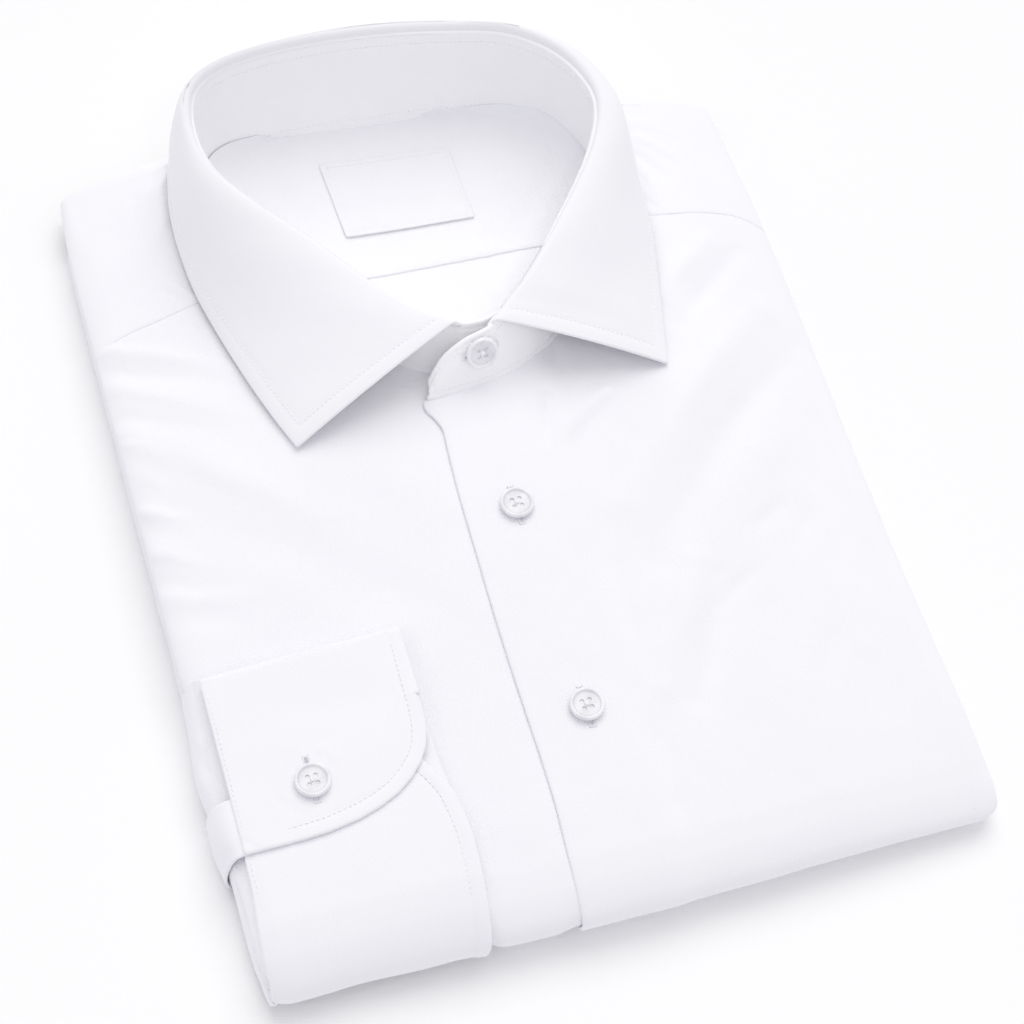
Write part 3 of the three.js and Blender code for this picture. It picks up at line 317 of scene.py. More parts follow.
def shell(parts, mid, thick, uv, sign=1, steps=3, guide=None):
    """A cloth wall round a middle surface, all its edges rounded."""
    ni, nj = mid.shape[:2]
    n = grid_normals(mid) * sign
    if guide is not None:
        n = guided(n, guide)
    r = np.broadcast_to(np.asarray(thick, float) / 2, (ni, nj))
    outer, inner = mid + n * r[..., None], mid - n * r[..., None]
    bi, bj = rim_of(ni, nj)
    ii = np.clip(bi, 1, ni - 2); jj = np.clip(bj, 1, nj - 2)
    out = unit(mid[bi, bj] - mid[ii, bj]) + unit(mid[bi, bj] - mid[bi, jj])
    nb = n[bi, bj]
    out = unit(out - nb * np.sum(out * nb, -1, keepdims=True))
    L = len(bi)
    vs = [outer.reshape(-1, 3), inner.reshape(-1, 3)]
    uvs = [uv.reshape(-1, 2), uv.reshape(-1, 2)]
    for k in range(1, steps + 1):
        a = math.pi * k / (steps + 1)
        rb = r[bi, bj][:, None]
        vs.append(mid[bi, bj] + rb * (nb * math.cos(a) + out * math.sin(a)))
        uvs.append(uv[bi, bj])
    base = ni * nj
    g = (np.arange(ni - 1)[:, None] * nj + np.arange(nj - 1)[None, :]).ravel()
    q1 = np.stack([g, g + nj, g + nj + 1, g + 1], 1)
    q2 = np.stack([g, g + 1, g + nj + 1, g + nj], 1) + base
    rings = [bi * nj + bj] + [2 * base + k * L + np.arange(L) for k in range(steps)] + [base + bi * nj + bj]
    strips = []
    for a, b in zip(rings[:-1], rings[1:]):
        strips.append(np.stack([a, np.roll(a, -1), np.roll(b, -1), b], 1))
    q3 = np.concatenate(strips)
    q = np.concatenate([q1, q2, q3])
    if sign < 0:
        q = q[:, ::-1]
    parts.add(np.concatenate(vs), q, None, np.concatenate(uvs))
    return outer, n


def path_frame(p):
    p = np.asarray(p, float)
    t = unit(np.gradient(p, axis=0))
    return t


def resample(p, n_or_step, *others):
    """Even steps along a polyline; others are carried along."""
    p = np.asarray(p, float)
    s = np.concatenate([[0], np.cumsum(np.linalg.norm(np.diff(p, axis=0), axis=1))])
    n = max(2, int(round(s[-1] / n_or_step)) + 1)
    q = np.linspace(0, s[-1], n)
    f = lambda a: np.stack([np.interp(q, s, a[:, k]) for k in range(a.shape[1])], 1)
    return (f(p), *[f(np.asarray(o, float)) for o in others])


def tube(parts, p, n, radius, sides=8, flat=1.0, closed_loop=False):
    """A cord of thread along p; n is the way it faces."""
    p = np.asarray(p, float)
    n = np.broadcast_to(np.asarray(n, float), p.shape)
    if closed_loop:
        t = unit(np.roll(p, -1, 0) - np.roll(p, 1, 0))
    else:
        t = path_frame(p)
    b = unit(np.cross(t, n)); m = unit(np.cross(b, t))
    r = np.broadcast_to(np.asarray(radius, float), (len(p),))[:, None]
    vs = []
    for k in range(sides):
        a = 2 * math.pi * k / sides
        vs.append(p + r * (b * math.cos(a) + m * flat * math.sin(a)))
    v = np.stack(vs, 1)
    N = len(p)
    rows_i = N if closed_loop else N - 1
    i = np.arange(rows_i)[:, None]; k = np.arange(sides)[None, :]
    i2 = (i + 1) % N
    q = np.stack([i * sides + k, i * sides + (k + 1) % sides, i2 * sides + (k + 1) % sides, i2 * sides + k], -1).reshape(-1, 4)
    tri = None
    v = v.reshape(-1, 3)
    if not closed_loop:
        v = np.concatenate([v, p[:1], p[-1:]])
        k = np.arange(sides)
        a = np.stack([np.full(sides, N * sides), (k + 1) % sides, k], 1)
        e = np.stack([np.full(sides, N * sides + 1), (N - 1) * sides + k, (N - 1) * sides + (k + 1) % sides], 1)
        tri = np.concatenate([a, e])
    length = np.concatenate([[0], np.cumsum(np.linalg.norm(np.diff(p, axis=0), axis=1))])
    uv = np.stack([np.repeat(length, sides), np.tile(np.arange(sides) * radius_mean(radius), N)], 1)
    if not closed_loop:
        uv = np.concatenate([uv, [[0, 0], [length[-1], 0]]])
    parts.add(v, q, tri, uv)


def radius_mean(r):
    return float(np.mean(r))


def stitches(parts, p, n, pitch=1.75, length=1.28, radius=0.16, rise=0.10, seed=1):
    """A row of short threads that dip into the cloth at both ends."""
    p, n = np.asarray(p, float), unit(np.asarray(n, float))
    s = np.concatenate([[0], np.cumsum(np.linalg.norm(np.diff(p, axis=0), axis=1))])
    count = int(s[-1] / pitch)
    if count < 1:
        return
    rng = np.random.default_rng(seed)
    c = (np.arange(count) + 0.5) * s[-1] / count + rng.normal(0, 0.04, count)
    at = np.array([-1, -0.72, -0.3, 0.3, 0.72, 1.0]) * length / 2
    q = c[:, None] + at[None, :]
    f = lambda a: np.stack([np.interp(q, s, a[:, k]) for k in range(3)], -1)
    P, N = f(p), unit(f(n))
    t = unit(np.gradient(P, axis=1))
    b = unit(np.cross(t, N))
    h = rise * (1 - (at / (length / 2)) ** 2 * 1.9)
    r = radius * np.array([0.45, 0.9, 1.0, 1.0, 0.9, 0.45])
    sides = 6
    rings = []
    for k in range(sides):
        a = 2 * math.pi * k / sides
        rings.append(P + N * (h[None, :, None] + r[None, :, None] * math.sin(a)) + b * (r[None, :, None] * math.cos(a)))
    v = np.stack(rings, 2)                       # stitch, ring, side
    S, R = count, len(at)
    i = np.arange(S)[:, None, None] * R * sides; j = np.arange(R - 1)[None, :, None] * sides; k = np.arange(sides)[None, None, :]
    a0 = i + j + k; a1 = i + j + (k + 1) % sides
    q4 = np.stack([a0, a1, a1 + sides, a0 + sides], -1).reshape(-1, 4)
    # end caps
    k = np.arange(1, sides - 1)
    base = np.arange(S)[:, None] * R * sides
    c0 = np.stack([np.broadcast_to(base, (S, sides - 2)), base + k + 1, base + k], -1).reshape(-1, 3)
    e = base + (R - 1) * sides
    c1 = np.stack([np.broadcast_to(e, (S, sides - 2)), e + k, e + k + 1], -1).reshape(-1, 3)
    uv = np.stack([np.broadcast_to(q[:, :, None], (S, R, sides)), np.broadcast_to(np.arange(sides)[None, None, :] * 0.2, (S, R, sides))], -1)
    parts.add(v.reshape(-1, 3), q4, np.concatenate([c0, c1]), uv.reshape(-1, 2))


# -------------------------------------------------------------- materials
class Nodes:
    def __init__(self, name):
        self.mat = bpy.data.materials.new(name)
        self.mat.use_nodes = True
        self.nt = self.mat.node_tree
        self.nt.nodes.clear()
        self.x = 0

    def new(self, kind, **kw):
        n = self.nt.nodes.new(kind)
        self.x += 40
        n.location = (self.x, 0)
        for k, v in kw.items():
            setattr(n, k, v)
        return n

    def link(self, a, b):
        self.nt.links.new(a, b)

    def math(self, op, a, b=None, clamp=False):
        n = self.new("ShaderNodeMath", operation=op, use_clamp=clamp)
        for k, v in ((0, a), (1, b)):
            if v is None:
                continue
            if hasattr(v, "is_output"):
                self.link(v, n.inputs[k])
            else:
                n.inputs[k].default_value = v
        return n.outputs[0]

    def noise(self, vec, scale, detail=3.0, rough=0.5, dist=0.0):
        n = self.new("ShaderNodeTexNoise")
        n.inputs["Scale"].default_value = scale
        n.inputs["Detail"].default_value = detail
        n.inputs["Roughness"].default_value = rough
        n.inputs["Distortion"].default_value = dist
        self.link(vec, n.inputs["Vector"])
        return n.outputs["Fac"]

    def mapping(self, vec, scale=(1, 1, 1), rot=(0, 0, 0)):
        n = self.new("ShaderNodeMapping")
        n.inputs["Scale"].default_value = scale
        n.inputs["Rotation"].default_value = rot
        self.link(vec, n.inputs["Vector"])
        return n.outputs["Vector"]

    def wave(self, vec, scale, direction="X", dist=0.0, dscale=1.0, profile="SIN"):
        n = self.new("ShaderNodeTexWave", wave_type="BANDS", bands_direction=direction, wave_profile=profile)
        n.inputs["Scale"].default_value = scale
        n.inputs["Distortion"].default_value = dist
        n.inputs["Detail"].default_value = 0.0
        n.inputs["Detail Scale"].default_value = dscale
        self.link(vec, n.inputs["Vector"])
        return n.outputs["Fac"]

    def ramp(self, fac, stops):
        n = self.new("ShaderNodeValToRGB")
        e = n.color_ramp.elements
        while len(e) > 2:
            e.remove(e[-1])
        for k, (p, c) in enumerate(stops):
            el = e[k] if k < 2 else e.new(p)
            el.position = p
            el.color = (*c, 1)
        self.link(fac, n.inputs["Fac"])
        return n.outputs["Color"]


def fabric(name, base, dark, weave=0.72, bump=0.5, depth=6e-5, rough=(0.78, 0.92), sheen=0.18, twill=0.0, slub=0.5):
    """Woven cotton: two sets of yarns, slubs, and a faint change of colour."""
    m = Nodes(name)
    uv = m.new("ShaderNodeUVMap", uv_map="cloth").outputs["UV"]
    obj = m.new("ShaderNodeTexCoord").outputs["Object"]
    k = 0.31416 / weave
    jitter = m.noise(m.mapping(uv, (0.06, 0.06, 1)), 1.0, 2.0)
    wu = m.wave(uv, k, "X", 0.6, 0.8)
    wv = m.wave(uv, k * 1.12, "Y", 0.6, 0.8)
    both = m.math("MULTIPLY", wu, wv)
    over = m.math("MAXIMUM", m.math("MULTIPLY", wu, 0.75), m.math("MULTIPLY", wv, 0.75))
    h = m.math("ADD", m.math("MULTIPLY", both, 0.5), m.math("MULTIPLY", over, 0.5))
    if twill:
        rib = m.wave(m.mapping(uv, (1, 1, 1), (0, 0, math.radians(58))), k * 0.62, "X", 0.5, 0.6)
        h = m.math("ADD", m.math("MULTIPLY", h, 1 - twill), m.math("MULTIPLY", rib, twill))
    slub_u = m.noise(m.mapping(uv, (0.09, 1.5, 1)), 1.0, 2.0, 0.55)
    slub_v = m.noise(m.mapping(uv, (1.5, 0.09, 1)), 1.0, 2.0, 0.55)
    slubs = m.math("ADD", m.math("MULTIPLY", slub_u, 0.5), m.math("MULTIPLY", slub_v, 0.5))
    h = m.math("ADD", h, m.math("MULTIPLY", slubs, slub))
    bmp = m.new("ShaderNodeBump")
    bmp.inputs["Strength"].default_value = bump
    bmp.inputs["Distance"].default_value = depth
    m.link(h, bmp.inputs["Height"])
    # slow change of tone with yarn-scale flecks; the weave's hollows also come out a little darker, painted shade at
    # yarn scale
    slow = m.noise(obj, 14.0, 3.0, 0.55)
    tone = m.math("ADD", m.math("MULTIPLY", slow, 0.55), m.math("MULTIPLY", slubs, 0.45))
    tone = m.math("ADD", m.math("MULTIPLY", tone, 0.8), m.math("MULTIPLY", h, 0.14))
    col = m.ramp(tone, [(0.30, dark), (0.66, base)])
    p = m.new("ShaderNodeBsdfPrincipled")
    m.link(col, p.inputs["Base Color"])
    rr = m.new("ShaderNodeMapRange")
    rr.inputs["From Min"].default_value = 0.3; rr.inputs["From Max"].default_value = 0.7
    rr.inputs["To Min"].default_value = rough[0]; rr.inputs["To Max"].default_value = rough[1]
    m.link(m.math("ADD", m.math("MULTIPLY", slow, 0.5), m.math("MULTIPLY", jitter, 0.5)), rr.inputs["Value"])
    m.link(rr.outputs["Result"], p.inputs["Roughness"])
    m.link(bmp.outputs["Normal"], p.inputs["Normal"])
    p.inputs["Specular IOR Level"].default_value = 0.22
    p.inputs["Sheen Weight"].default_value = sheen
    p.inputs["Sheen Roughness"].default_value = 0.45
    p.inputs["Sheen Tint"].default_value = (0.97, 0.97, 1.0, 1)
    out = m.new("ShaderNodeOutputMaterial")
    m.link(p.outputs["BSDF"], out.inputs["Surface"])
    MATS[name] = m.mat
    return m.mat


def thread(name, base, dark, twist=0.45):
    m = Nodes(name)
    uv = m.new("ShaderNodeUVMap", uv_map="cloth").outputs["UV"]
    w = m.wave(m.mapping(uv, (1, 1, 1), (0, 0, math.radians(35))), 0.31416 / twist, "X", 0.4, 1.0)
    obj = m.new("ShaderNodeTexCoord").outputs["Object"]
    n = m.noise(obj, 900.0, 2.0)
    # the twist's grooves are darker in colour: painted shade along the thread, mixed with random flecks
    col = m.ramp(m.math("ADD", m.math("MULTIPLY", w, 0.5), m.math("MULTIPLY", n, 0.5)), [(0.2, dark), (0.75, base)])
    b = m.new("ShaderNodeBump")
    b.inputs["Strength"].default_value = 0.5; b.inputs["Distance"].default_value = 5e-5
    m.link(w, b.inputs["Height"])
    p = m.new("ShaderNodeBsdfPrincipled")
    m.link(col, p.inputs["Base Color"]); m.link(b.outputs["Normal"], p.inputs["Normal"])
    p.inputs["Roughness"].default_value = 0.5
    p.inputs["Sheen Weight"].default_value = 0.2
    out = m.new("ShaderNodeOutputMaterial")
    m.link(p.outputs["BSDF"], out.inputs["Surface"])
    MATS[name] = m.mat
    return m.mat


def pearl(name, shade=1.0):
    """Polished pearly resin: faint clouds of two whites, a clear gloss."""
    m = Nodes(name)
    obj = m.new("ShaderNodeTexCoord").outputs["Object"]
    cloud = m.noise(m.mapping(obj, (1, 1.6, 1)), 260.0, 3.0, 0.55, 1.2)
    band = m.wave(m.mapping(obj, (1, 1, 1), (0.5, 0.4, 0.9)), 55.0, "X", 3.0, 2.0)
    mix = m.math("ADD", m.math("MULTIPLY", cloud, 0.65), m.math("MULTIPLY", band, 0.35))
    col = m.ramp(mix, [(0.28, (0.83 * shade, 0.825 * shade, 0.865 * shade)), (0.7, (0.93 * shade, 0.922 * shade, 0.955 * shade))])
    b = m.new("ShaderNodeBump")
    b.inputs["Strength"].default_value = 0.12; b.inputs["Distance"].default_value = 4e-5
    m.link(m.noise(obj, 1500.0, 2.0), b.inputs["Height"])
    p = m.new("ShaderNodeBsdfPrincipled")
    m.link(col, p.inputs["Base Color"]); m.link(b.outputs["Normal"], p.inputs["Normal"])
    rr = m.new("ShaderNodeMapRange")
    rr.inputs["To Min"].default_value = 0.2; rr.inputs["To Max"].default_value = 0.34
    m.link(cloud, rr.inputs["Value"]); m.link(rr.outputs["Result"], p.inputs["Roughness"])
    p.inputs["Specular IOR Level"].default_value = 0.5
    p.inputs["Coat Weight"].default_value = 0.35
    p.inputs["Coat Roughness"].default_value = 0.12
    p.inputs["Subsurface Weight"].default_value = 0.0
    out = m.new("ShaderNodeOutputMaterial")
    m.link(p.outputs["BSDF"], out.inputs["Surface"])
    MATS[name] = m.mat
    return m.mat


WHITE, WHITE_D = (0.958, 0.951, 0.980), (0.930, 0.922, 0.962)
M_CLOTH = fabric("white_twill", WHITE, WHITE_D, weave=0.70, twill=0.35)
# the inside pieces use the same white twill made a little darker: painted shade inside the neck opening and the folds
M_INSIDE_SHADED = fabric("white_twill_inside_painted_shade", (0.931, 0.928, 0.951), (0.906, 0.902, 0.935), weave=0.70, twill=0.2, bump=0.45)
# the collar's cloth is the same twill made a little darker: painted shade on the collar's leaves
M_COLLAR_SHADED = fabric("collar_twill_painted_shade", (0.939, 0.936, 0.963), (0.911, 0.907, 0.942), weave=0.66, twill=0.45, bump=0.42, rough=(0.7, 0.85), sheen=0.14)
# the stand's cloth is the same twill made brighter: painted light for the glow inside the collar
M_STAND_LIT = fabric("stand_twill_painted_light", (0.990, 0.988, 1.0), (0.975, 0.972, 0.995), weave=0.66, twill=0.45, bump=0.42, rough=(0.72, 0.86), sheen=0.16)
M_CUFF = fabric("cuff_twill", WHITE, WHITE_D, weave=0.68, twill=0.4, bump=0.45, rough=(0.72, 0.88))
M_LABEL = fabric("label_satin", (0.915, 0.915, 0.94), (0.88, 0.88, 0.91), weave=0.42, bump=0.3, depth=4e-5, rough=(0.45, 0.6), sheen=0.1, slub=0.2)
M_THREAD = thread("white_thread", (0.985, 0.98, 1.0), (0.93, 0.925, 0.96))
M_HOLE = thread("buttonhole_thread", (0.93, 0.925, 0.955), (0.80, 0.795, 0.85), twist=0.32)
# a grey sheet in each buttonhole's slit stands for the shade in the opening: painted shade
M_SLIT_SHADE = thread("buttonhole_slit_painted_shade", (0.64, 0.632, 0.70), (0.54, 0.532, 0.60))
M_PEARL = pearl("pearl_button")
# a darker copy of the pearl for the dished face inside the rim: painted shade
M_FACE_SHADED = pearl("pearl_face_painted_shade", 0.91)


def done(o, *nodes, slot="cloth"):
    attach(o, "root")
    if nodes:
        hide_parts(*nodes)
    return o


# -------------------------------------------------------------- the fronts
TOP, TURN, UNDER = 0, 1, 2


def track(kind, val, x):
    a = np.radians(val)
    s, c = np.sin(a), np.cos(a)
    y = np.where(kind == TURN, turn_y(x) - BAND_MID * s, val)
    z = np.where(kind == TURN, STACK_MID + BAND_MID * c, np.where(kind == TOP, STACK_MID + BAND_MID, STACK_MID - BAND_MID))
    ny = np.where(kind == TURN, -s, 0.0)
    nz = np.where(kind == TURN, c, np.where(kind == TOP, 1.0, -1.0))
    return y, z, ny, nz


def band_point(ckind, cval, kind, val, side, inner):
    """ckind: 0 flat share, 1 rounding angle, 2 flap length."""
    py = track(kind, val, np.full(np.shape(val), side * 110.0))[0]
    xs = side_x(side, np.where(kind == TURN, TURN_Y, py))
    a = np.radians(cval)
    w = np.where(cval <= 90, SIDE_TOP, BAND_HALF)
    l = np.hypot(np.sin(a) / w, np.cos(a) / BAND_HALF)
    x = np.where(ckind == 0, lerp(inner, side * (xs - SIDE_TOP), cval),
                 np.where(ckind == 1, side * (xs - w + w * np.sin(a)), side * (xs - BAND_HALF - cval)))
    n = np.where(ckind == 0, BAND_HALF, np.where(ckind == 1, BAND_HALF * np.cos(a), -BAND_HALF))
    mx = np.where(ckind == 1, side * np.sin(a) / w / l, 0.0)
    mn = np.where(ckind == 0, 1.0, np.where(ckind == 1, np.cos(a) / BAND_HALF / l, -1.0))
    y, z, ny, nz = track(kind, val, x)
    at = np.stack([x, y + n * ny, z + n * nz], -1)
    nrm = np.stack([mx * np.ones_like(ny), mn * ny, mn * nz], -1)
    return at, nrm


def stand_at(r):
    return [at_row(STAND, k, r) for k in ("bx", "by", "tx", "ty", "tz")]


def neck_point(r, d):
    e = 0.05
    r = np.asarray(r, float)
    a = stand_at(np.maximum(0, r - e)); b = stand_at(np.minimum(24, r + e)); c = stand_at(r)
    dx, dy = b[0] - a[0], b[1] - a[1]
    l = np.hypot(dx, dy)
    return np.stack([c[0] + dy / l * d, c[1] - dx / l * d], -1)


def neck_at(a, b):
    for _ in range(40):
        m = (a + b) / 2
        x, y = neck_point(m, 0)
        if y - seam_y(x) > 0: b = m
        else: a = m
    return (a + b) / 2


NECK_RIGHT, NECK_LEFT = neck_at(5.0, 9.0), neck_at(21.0, 17.0)

# creases: start, middle and end in plan; heights there; widths to the left and right of the line
# wearer's right front (viewer's left), dragged from the side fold towards the placket
CREASES_RIGHT = [
    (-120.0, 230.6, -101.2, 222.5, -79.9, 210.9, 0.9, 0.7, 0.2, 2.6, 2.6),
    (-121.7, 222.5, -102.9, 214.8, -78.3, 203.2, -0.8, -0.55, -0.15, 3, 3),
    (-120.0, 214.4, -104.8, 206.7, -81.0, 192.2, 0.7, 0.55, 0.2, 3, 3),
    (-120.8, 203.0, -104.0, 195.4, -80.1, 182.0, -0.6, -0.4, -0.1, 3, 4),
    (-117.9, 193.1, -92.4, 172.7, -65.0, 148.4, 0.45, 0.85, 0.5, 7, 5),
    (-116.7, 168.6, -80.2, 140.9, -39.3, 107.6, -0.3, -0.7, -0.5, 7, 9),
    (-121.0, 191.5, -113.3, 186.8, -103.9, 180.8, 0.5, 0.35, 0, 1.8, 1.8),
    (-119.9, 178.3, -114.7, 174.8, -107.0, 170.2, 0.4, 0.25, 0, 1.8, 1.8),
    (-121.4, 165.2, -113.5, 161.0, -101.3, 156.4, 1.2, 0.7, 0, 2.2, 2),
    (-121.4, 157.7, -113.5, 153.6, -104.4, 150.3, -0.6, -0.35, 0, 3, 3),
    (-121.2, 148.4, -112.4, 144.0, -102.3, 138.2, 0.9, 0.6, 0.1, 3, 2.4),
    (-121.6, 138.1, -111.7, 133.1, -102.1, 129.7, -0.6, -0.45, -0.1, 3.4, 3.4),
    (-121.6, 132.1, -109.5, 128.4, -90.9, 124.4, 0.5, 0.55, 0.1, 3, 3),
    (-121.0, 123.7, -108.3, 119.8, -92.0, 117.6, -0.35, -0.4, -0.1, 4, 4),
    (-57.5, 164.1, -39.4, 155.6, -28.7, 145.2, 0.3, 0.5, 0.2, 9, 9),
]
# wearer's left front
CREASES_LEFT = [
    (96.9, 227.5, 86.1, 218.9, 73.8, 207.6, 0.4, 0.6, 0.2, 4.2, 4.2),
    (107.1, 221.0, 91.0, 207.7, 76.1, 195.3, -0.4, -0.6, -0.2, 4.2, 4.2),
    (105.7, 195.1, 75.1, 170.9, 36.5, 129.4, 0.4, 1, 0.4, 7, 6),
    (115.5, 178.1, 80.0, 150.4, 39.0, 105.4, -0.3, -0.9, -0.45, 6.5, 6.5),
    (48.1, 103.3, 39.8, 85.4, 26.0, 62.0, 0.3, 0.65, 0.35, 5, 4.6),
    (56.3, 95.7, 48.5, 77.3, 35.7, 54.6, -0.3, -0.6, -0.3, 4.6, 4.6),
    (84.4, 117.1, 79.4, 113.3, 75.3, 109.8, -0.2, -0.4, -0.1, 3, 3),
    (66.2, 94.6, 60.7, 91.2, 53.9, 85.9, -0.2, -0.4, -0.2, 2.6, 2.6),
    (20.5, 174.8, 17.4, 163.7, 14.5, 151.9, -0.6, -0.5, -0.05, 2.6, 2.2),
    (41.4, 172.7, 28.8, 164.8, 16.3, 153.1, 0.7, 0.7, 0.1, 3, 2.6),
    (22.8, 132.6, 21.0, 109.7, 19.8, 85.2, -0.1, -0.4, -0.15, 3.6, 3.6),
    (16.9, 62.0, 16.2, 43.6, 15.2, 22.9, -0.15, -0.42, -0.2, 3.8, 3.8),
    (92.3, 78.3, 83.0, 61.4, 75.3, 44.8, -0.1, -0.35, -0.1, 4, 4),
    (92.6, 117.4, 91.9, 109.6, 87.1, 102.7, -0.1, -0.3, -0.1, 3, 3),
    (106.3, 153.9, 87.9, 136.6, 74.3, 119.1, 0.1, 0.4, 0.1, 8, 8),
    (101.9, 91.8, 95.7, 77.6, 93.6, 62.9, 0.1, 0.3, 0.1, 6, 6),
    (81.8, 190.1, 66.2, 175.1, 49.0, 158.8, 0.1, 0.4, 0.1, 6, 6),
]


def front(name, node, side, edge, neck_rows, seam_rows, creases_top, lift_at, thick, seed):
    """neck_rows: (y, inner) pairs or stand rows, ending on the yoke seam."""
    kinds, vals, inner = [], [], []
    def put(k, v, i):
        kinds.append(k); vals.append(float(v)); inner.append(float(i))
    for y in np.linspace(HEM_Y, 12, int(90 * FINE)): put(UNDER, y, edge)
    for a in np.linspace(176, 4, int(30 * FINE) + 6): put(TURN, a, edge)
    for y in np.linspace(11.5, 176, int(112 * FINE)): put(TOP, y, edge)
    for y, i in neck_rows: put(TOP, y, i)
    # the last rows follow the yoke's seam, and end under the yoke
    ry, rx = seam_rows
    last = float(ry - 3.4)
    for k in (0, 0.9, 1.7, 2.3, 2.7, 3.05, 3.4, 3.9, 4.8, 6.2): put(TOP, last + k, np.interp(last + k, [last, last + 6.2], rx))
    kind = np.array(kinds)[:, None]; val = np.array(vals)[:, None]; inn = np.array(inner)[:, None]
    if side > 0:
        inn = np.where((kind == TOP) & (val < 182), placket_x(val), np.where(kind == TURN, placket_x(4.0), np.where(kind == UNDER, placket_x(-6.0), inn)))
    nf = int(84 * FINE)
    flat = 1 - (1 - np.linspace(0, 1, nf)) ** 1.0
    rnd = np.linspace(0, 175, int(18 * FINE) + 6)[1:]
    ck = np.concatenate([np.zeros(nf), np.ones(len(rnd)), np.full(3, 2)])[None, :]
    cv = np.concatenate([flat, rnd, [1.2, 2.6, FLAP]])[None, :]
    at, _ = band_point(ck, cv, kind, val, side, inn)
    pull = np.where(kind == TOP, smooth(190, last, val), 0)
    v2 = np.where(kind == TOP, val + pull * (seam_y(at[..., 0]) - 3.4 - last), np.broadcast_to(val, at.shape[:2]))
    at, nrm = band_point(ck, cv, np.broadcast_to(kind, v2.shape), v2, side, inn)
    kk = np.broadcast_to(kind, v2.shape)
    w = np.where(kk == TOP, 0.0, np.where(kk == UNDER, 1.0, smooth(0, 180, v2)))
    # the cloth's own flat coordinates, for its weave
    arc = np.cumsum(np.concatenate([[0], np.hypot(np.diff(SIDE_TOP * np.sin(np.radians(rnd))), np.diff(BAND_HALF * np.cos(np.radians(rnd))))]))
    extra = np.concatenate([np.zeros(nf), 3.0 + arc, arc[-1] + 3.0 + np.array([1.2, 2.6, 4.0])])[None, :]
    xs = side_x(side, np.where(kk == TURN, TURN_Y, v2))
    U = np.where(ck == 0, at[..., 0], side * (xs - SIDE_TOP + extra))
    V = np.where(kk == TOP, v2, np.where(kk == TURN, turn_y(at[..., 0]) - 9.0 * np.radians(v2), 2 * turn_y(at[..., 0]) - 9.0 * math.pi - v2))
    lift = lift_at(at[..., 0], w, v2, kk)
    fade = np.where(ck == 0, 1.0, np.where(ck == 1, np.cos(np.radians(np.clip(cv, 0, 90))) ** 0.5, 0))
    cr = creases(U, V, creases_top) * (2.7 if side > 0 else 1.3) * (1 - smooth(0.25, 0.8, w)) * fade
    soft = waves(U, V, 11, 46) * 0.22 + waves(U, V, 12, 19) * 0.06
    soft = soft * (1 - w) * fade
    if side < 0:
        soft = soft * (1 - 0.9 * smooth(-45, -53, U) * smooth(106, 99, V))
    under = -np.abs(waves(U, V, seed + 2, 38)) * 0.5 * smooth(0.6, 1, w) * np.where(ck == 0, 1, 0.4)
    d = lift + cr + soft + under
    skin = press(at + nrm * d[..., None])
    n0 = grid_normals(skin)
    sign = 1 if np.sum(n0 * nrm) > 0 else -1
    th = np.broadcast_to(thick, skin.shape[:2])
    mid = skin - guided(n0 * sign, nrm) * th[..., None] / 2
    mid[..., 2] = np.maximum(mid[..., 2], th / 2)
    P = Parts()
    outer, n = shell(P, mid, th, np.stack([U, V], -1), sign, guide=nrm)
    o = P.make(name, M_CLOTH)
    done(o, node)
    return dict(o=o, outer=outer, n=n, U=U, V=V, kind=kk, val=v2)


def neck_rows_of(rs, d=-0.2):
    out = []
    for r in rs:
        x, y = neck_point(r, d)
        out.append((float(y), float(x)))
    return out


def seam_dip(x, y, kind):
    """The front's cloth goes down into the yoke's seam."""
    return -0.6 * np.where(kind == TOP, smooth(-1.1, 0.25, y - seam_y(x)), 0)


def left_lift(x, w, y, kind):
    yy = np.where(kind == TOP, y, 6.0)
    k = placket_k(yy)
    # the placket's inner fold shows as a soft step
    lift = PLACKET_LIFT * (1 - smooth(k - 1.2, k + 7.5, x)) - 0.1 * np.exp(-((x - k) / 0.8) ** 2) * smooth(178, 170, yy)
    return (1 - w) * lift + seam_dip(x, y, kind)


def right_lift(x, w, y, kind):
    yy = np.where(kind == TOP, y, 6.0)
    k = placket_x(yy)
    under = -1.95 * smooth(PLACKET_EDGE - 12, PLACKET_EDGE - 4, x)
    cuff = -0.6 * smooth(-46, -52, x) * np.where(kind == TOP, smooth(104, 98, y), np.where(kind == TURN, (1 + 1.6 * smooth(0, 60, y)) * smooth(170, 130, y), 0))
    return w * under + (1 - w) * (-0.4 * smooth(k - 0.6, k + 2.6, x)) + cuff + seam_dip(x, y, kind)


def seam_end(r0, r1):
    """Where the neckline comes to the yoke's seam, and its x just before and after."""
    rr = np.linspace(r0, r1, 400)
    p = neck_point(rr, -0.2)
    y_s = seam_y(p[:, 0])
    k = int(np.argmin(np.abs(p[:, 1] - y_s)))
    y = float(y_s[k])
    o = np.argsort(p[:, 1])
    return y, [float(np.interp(y - 3.4, p[o, 1], p[o, 0])), float(np.interp(y + 2.8, p[o, 1], p[o, 0]))]


def upto(pairs, y):
    return [p for p in pairs if p[0] < y - 3.4 - 0.8]


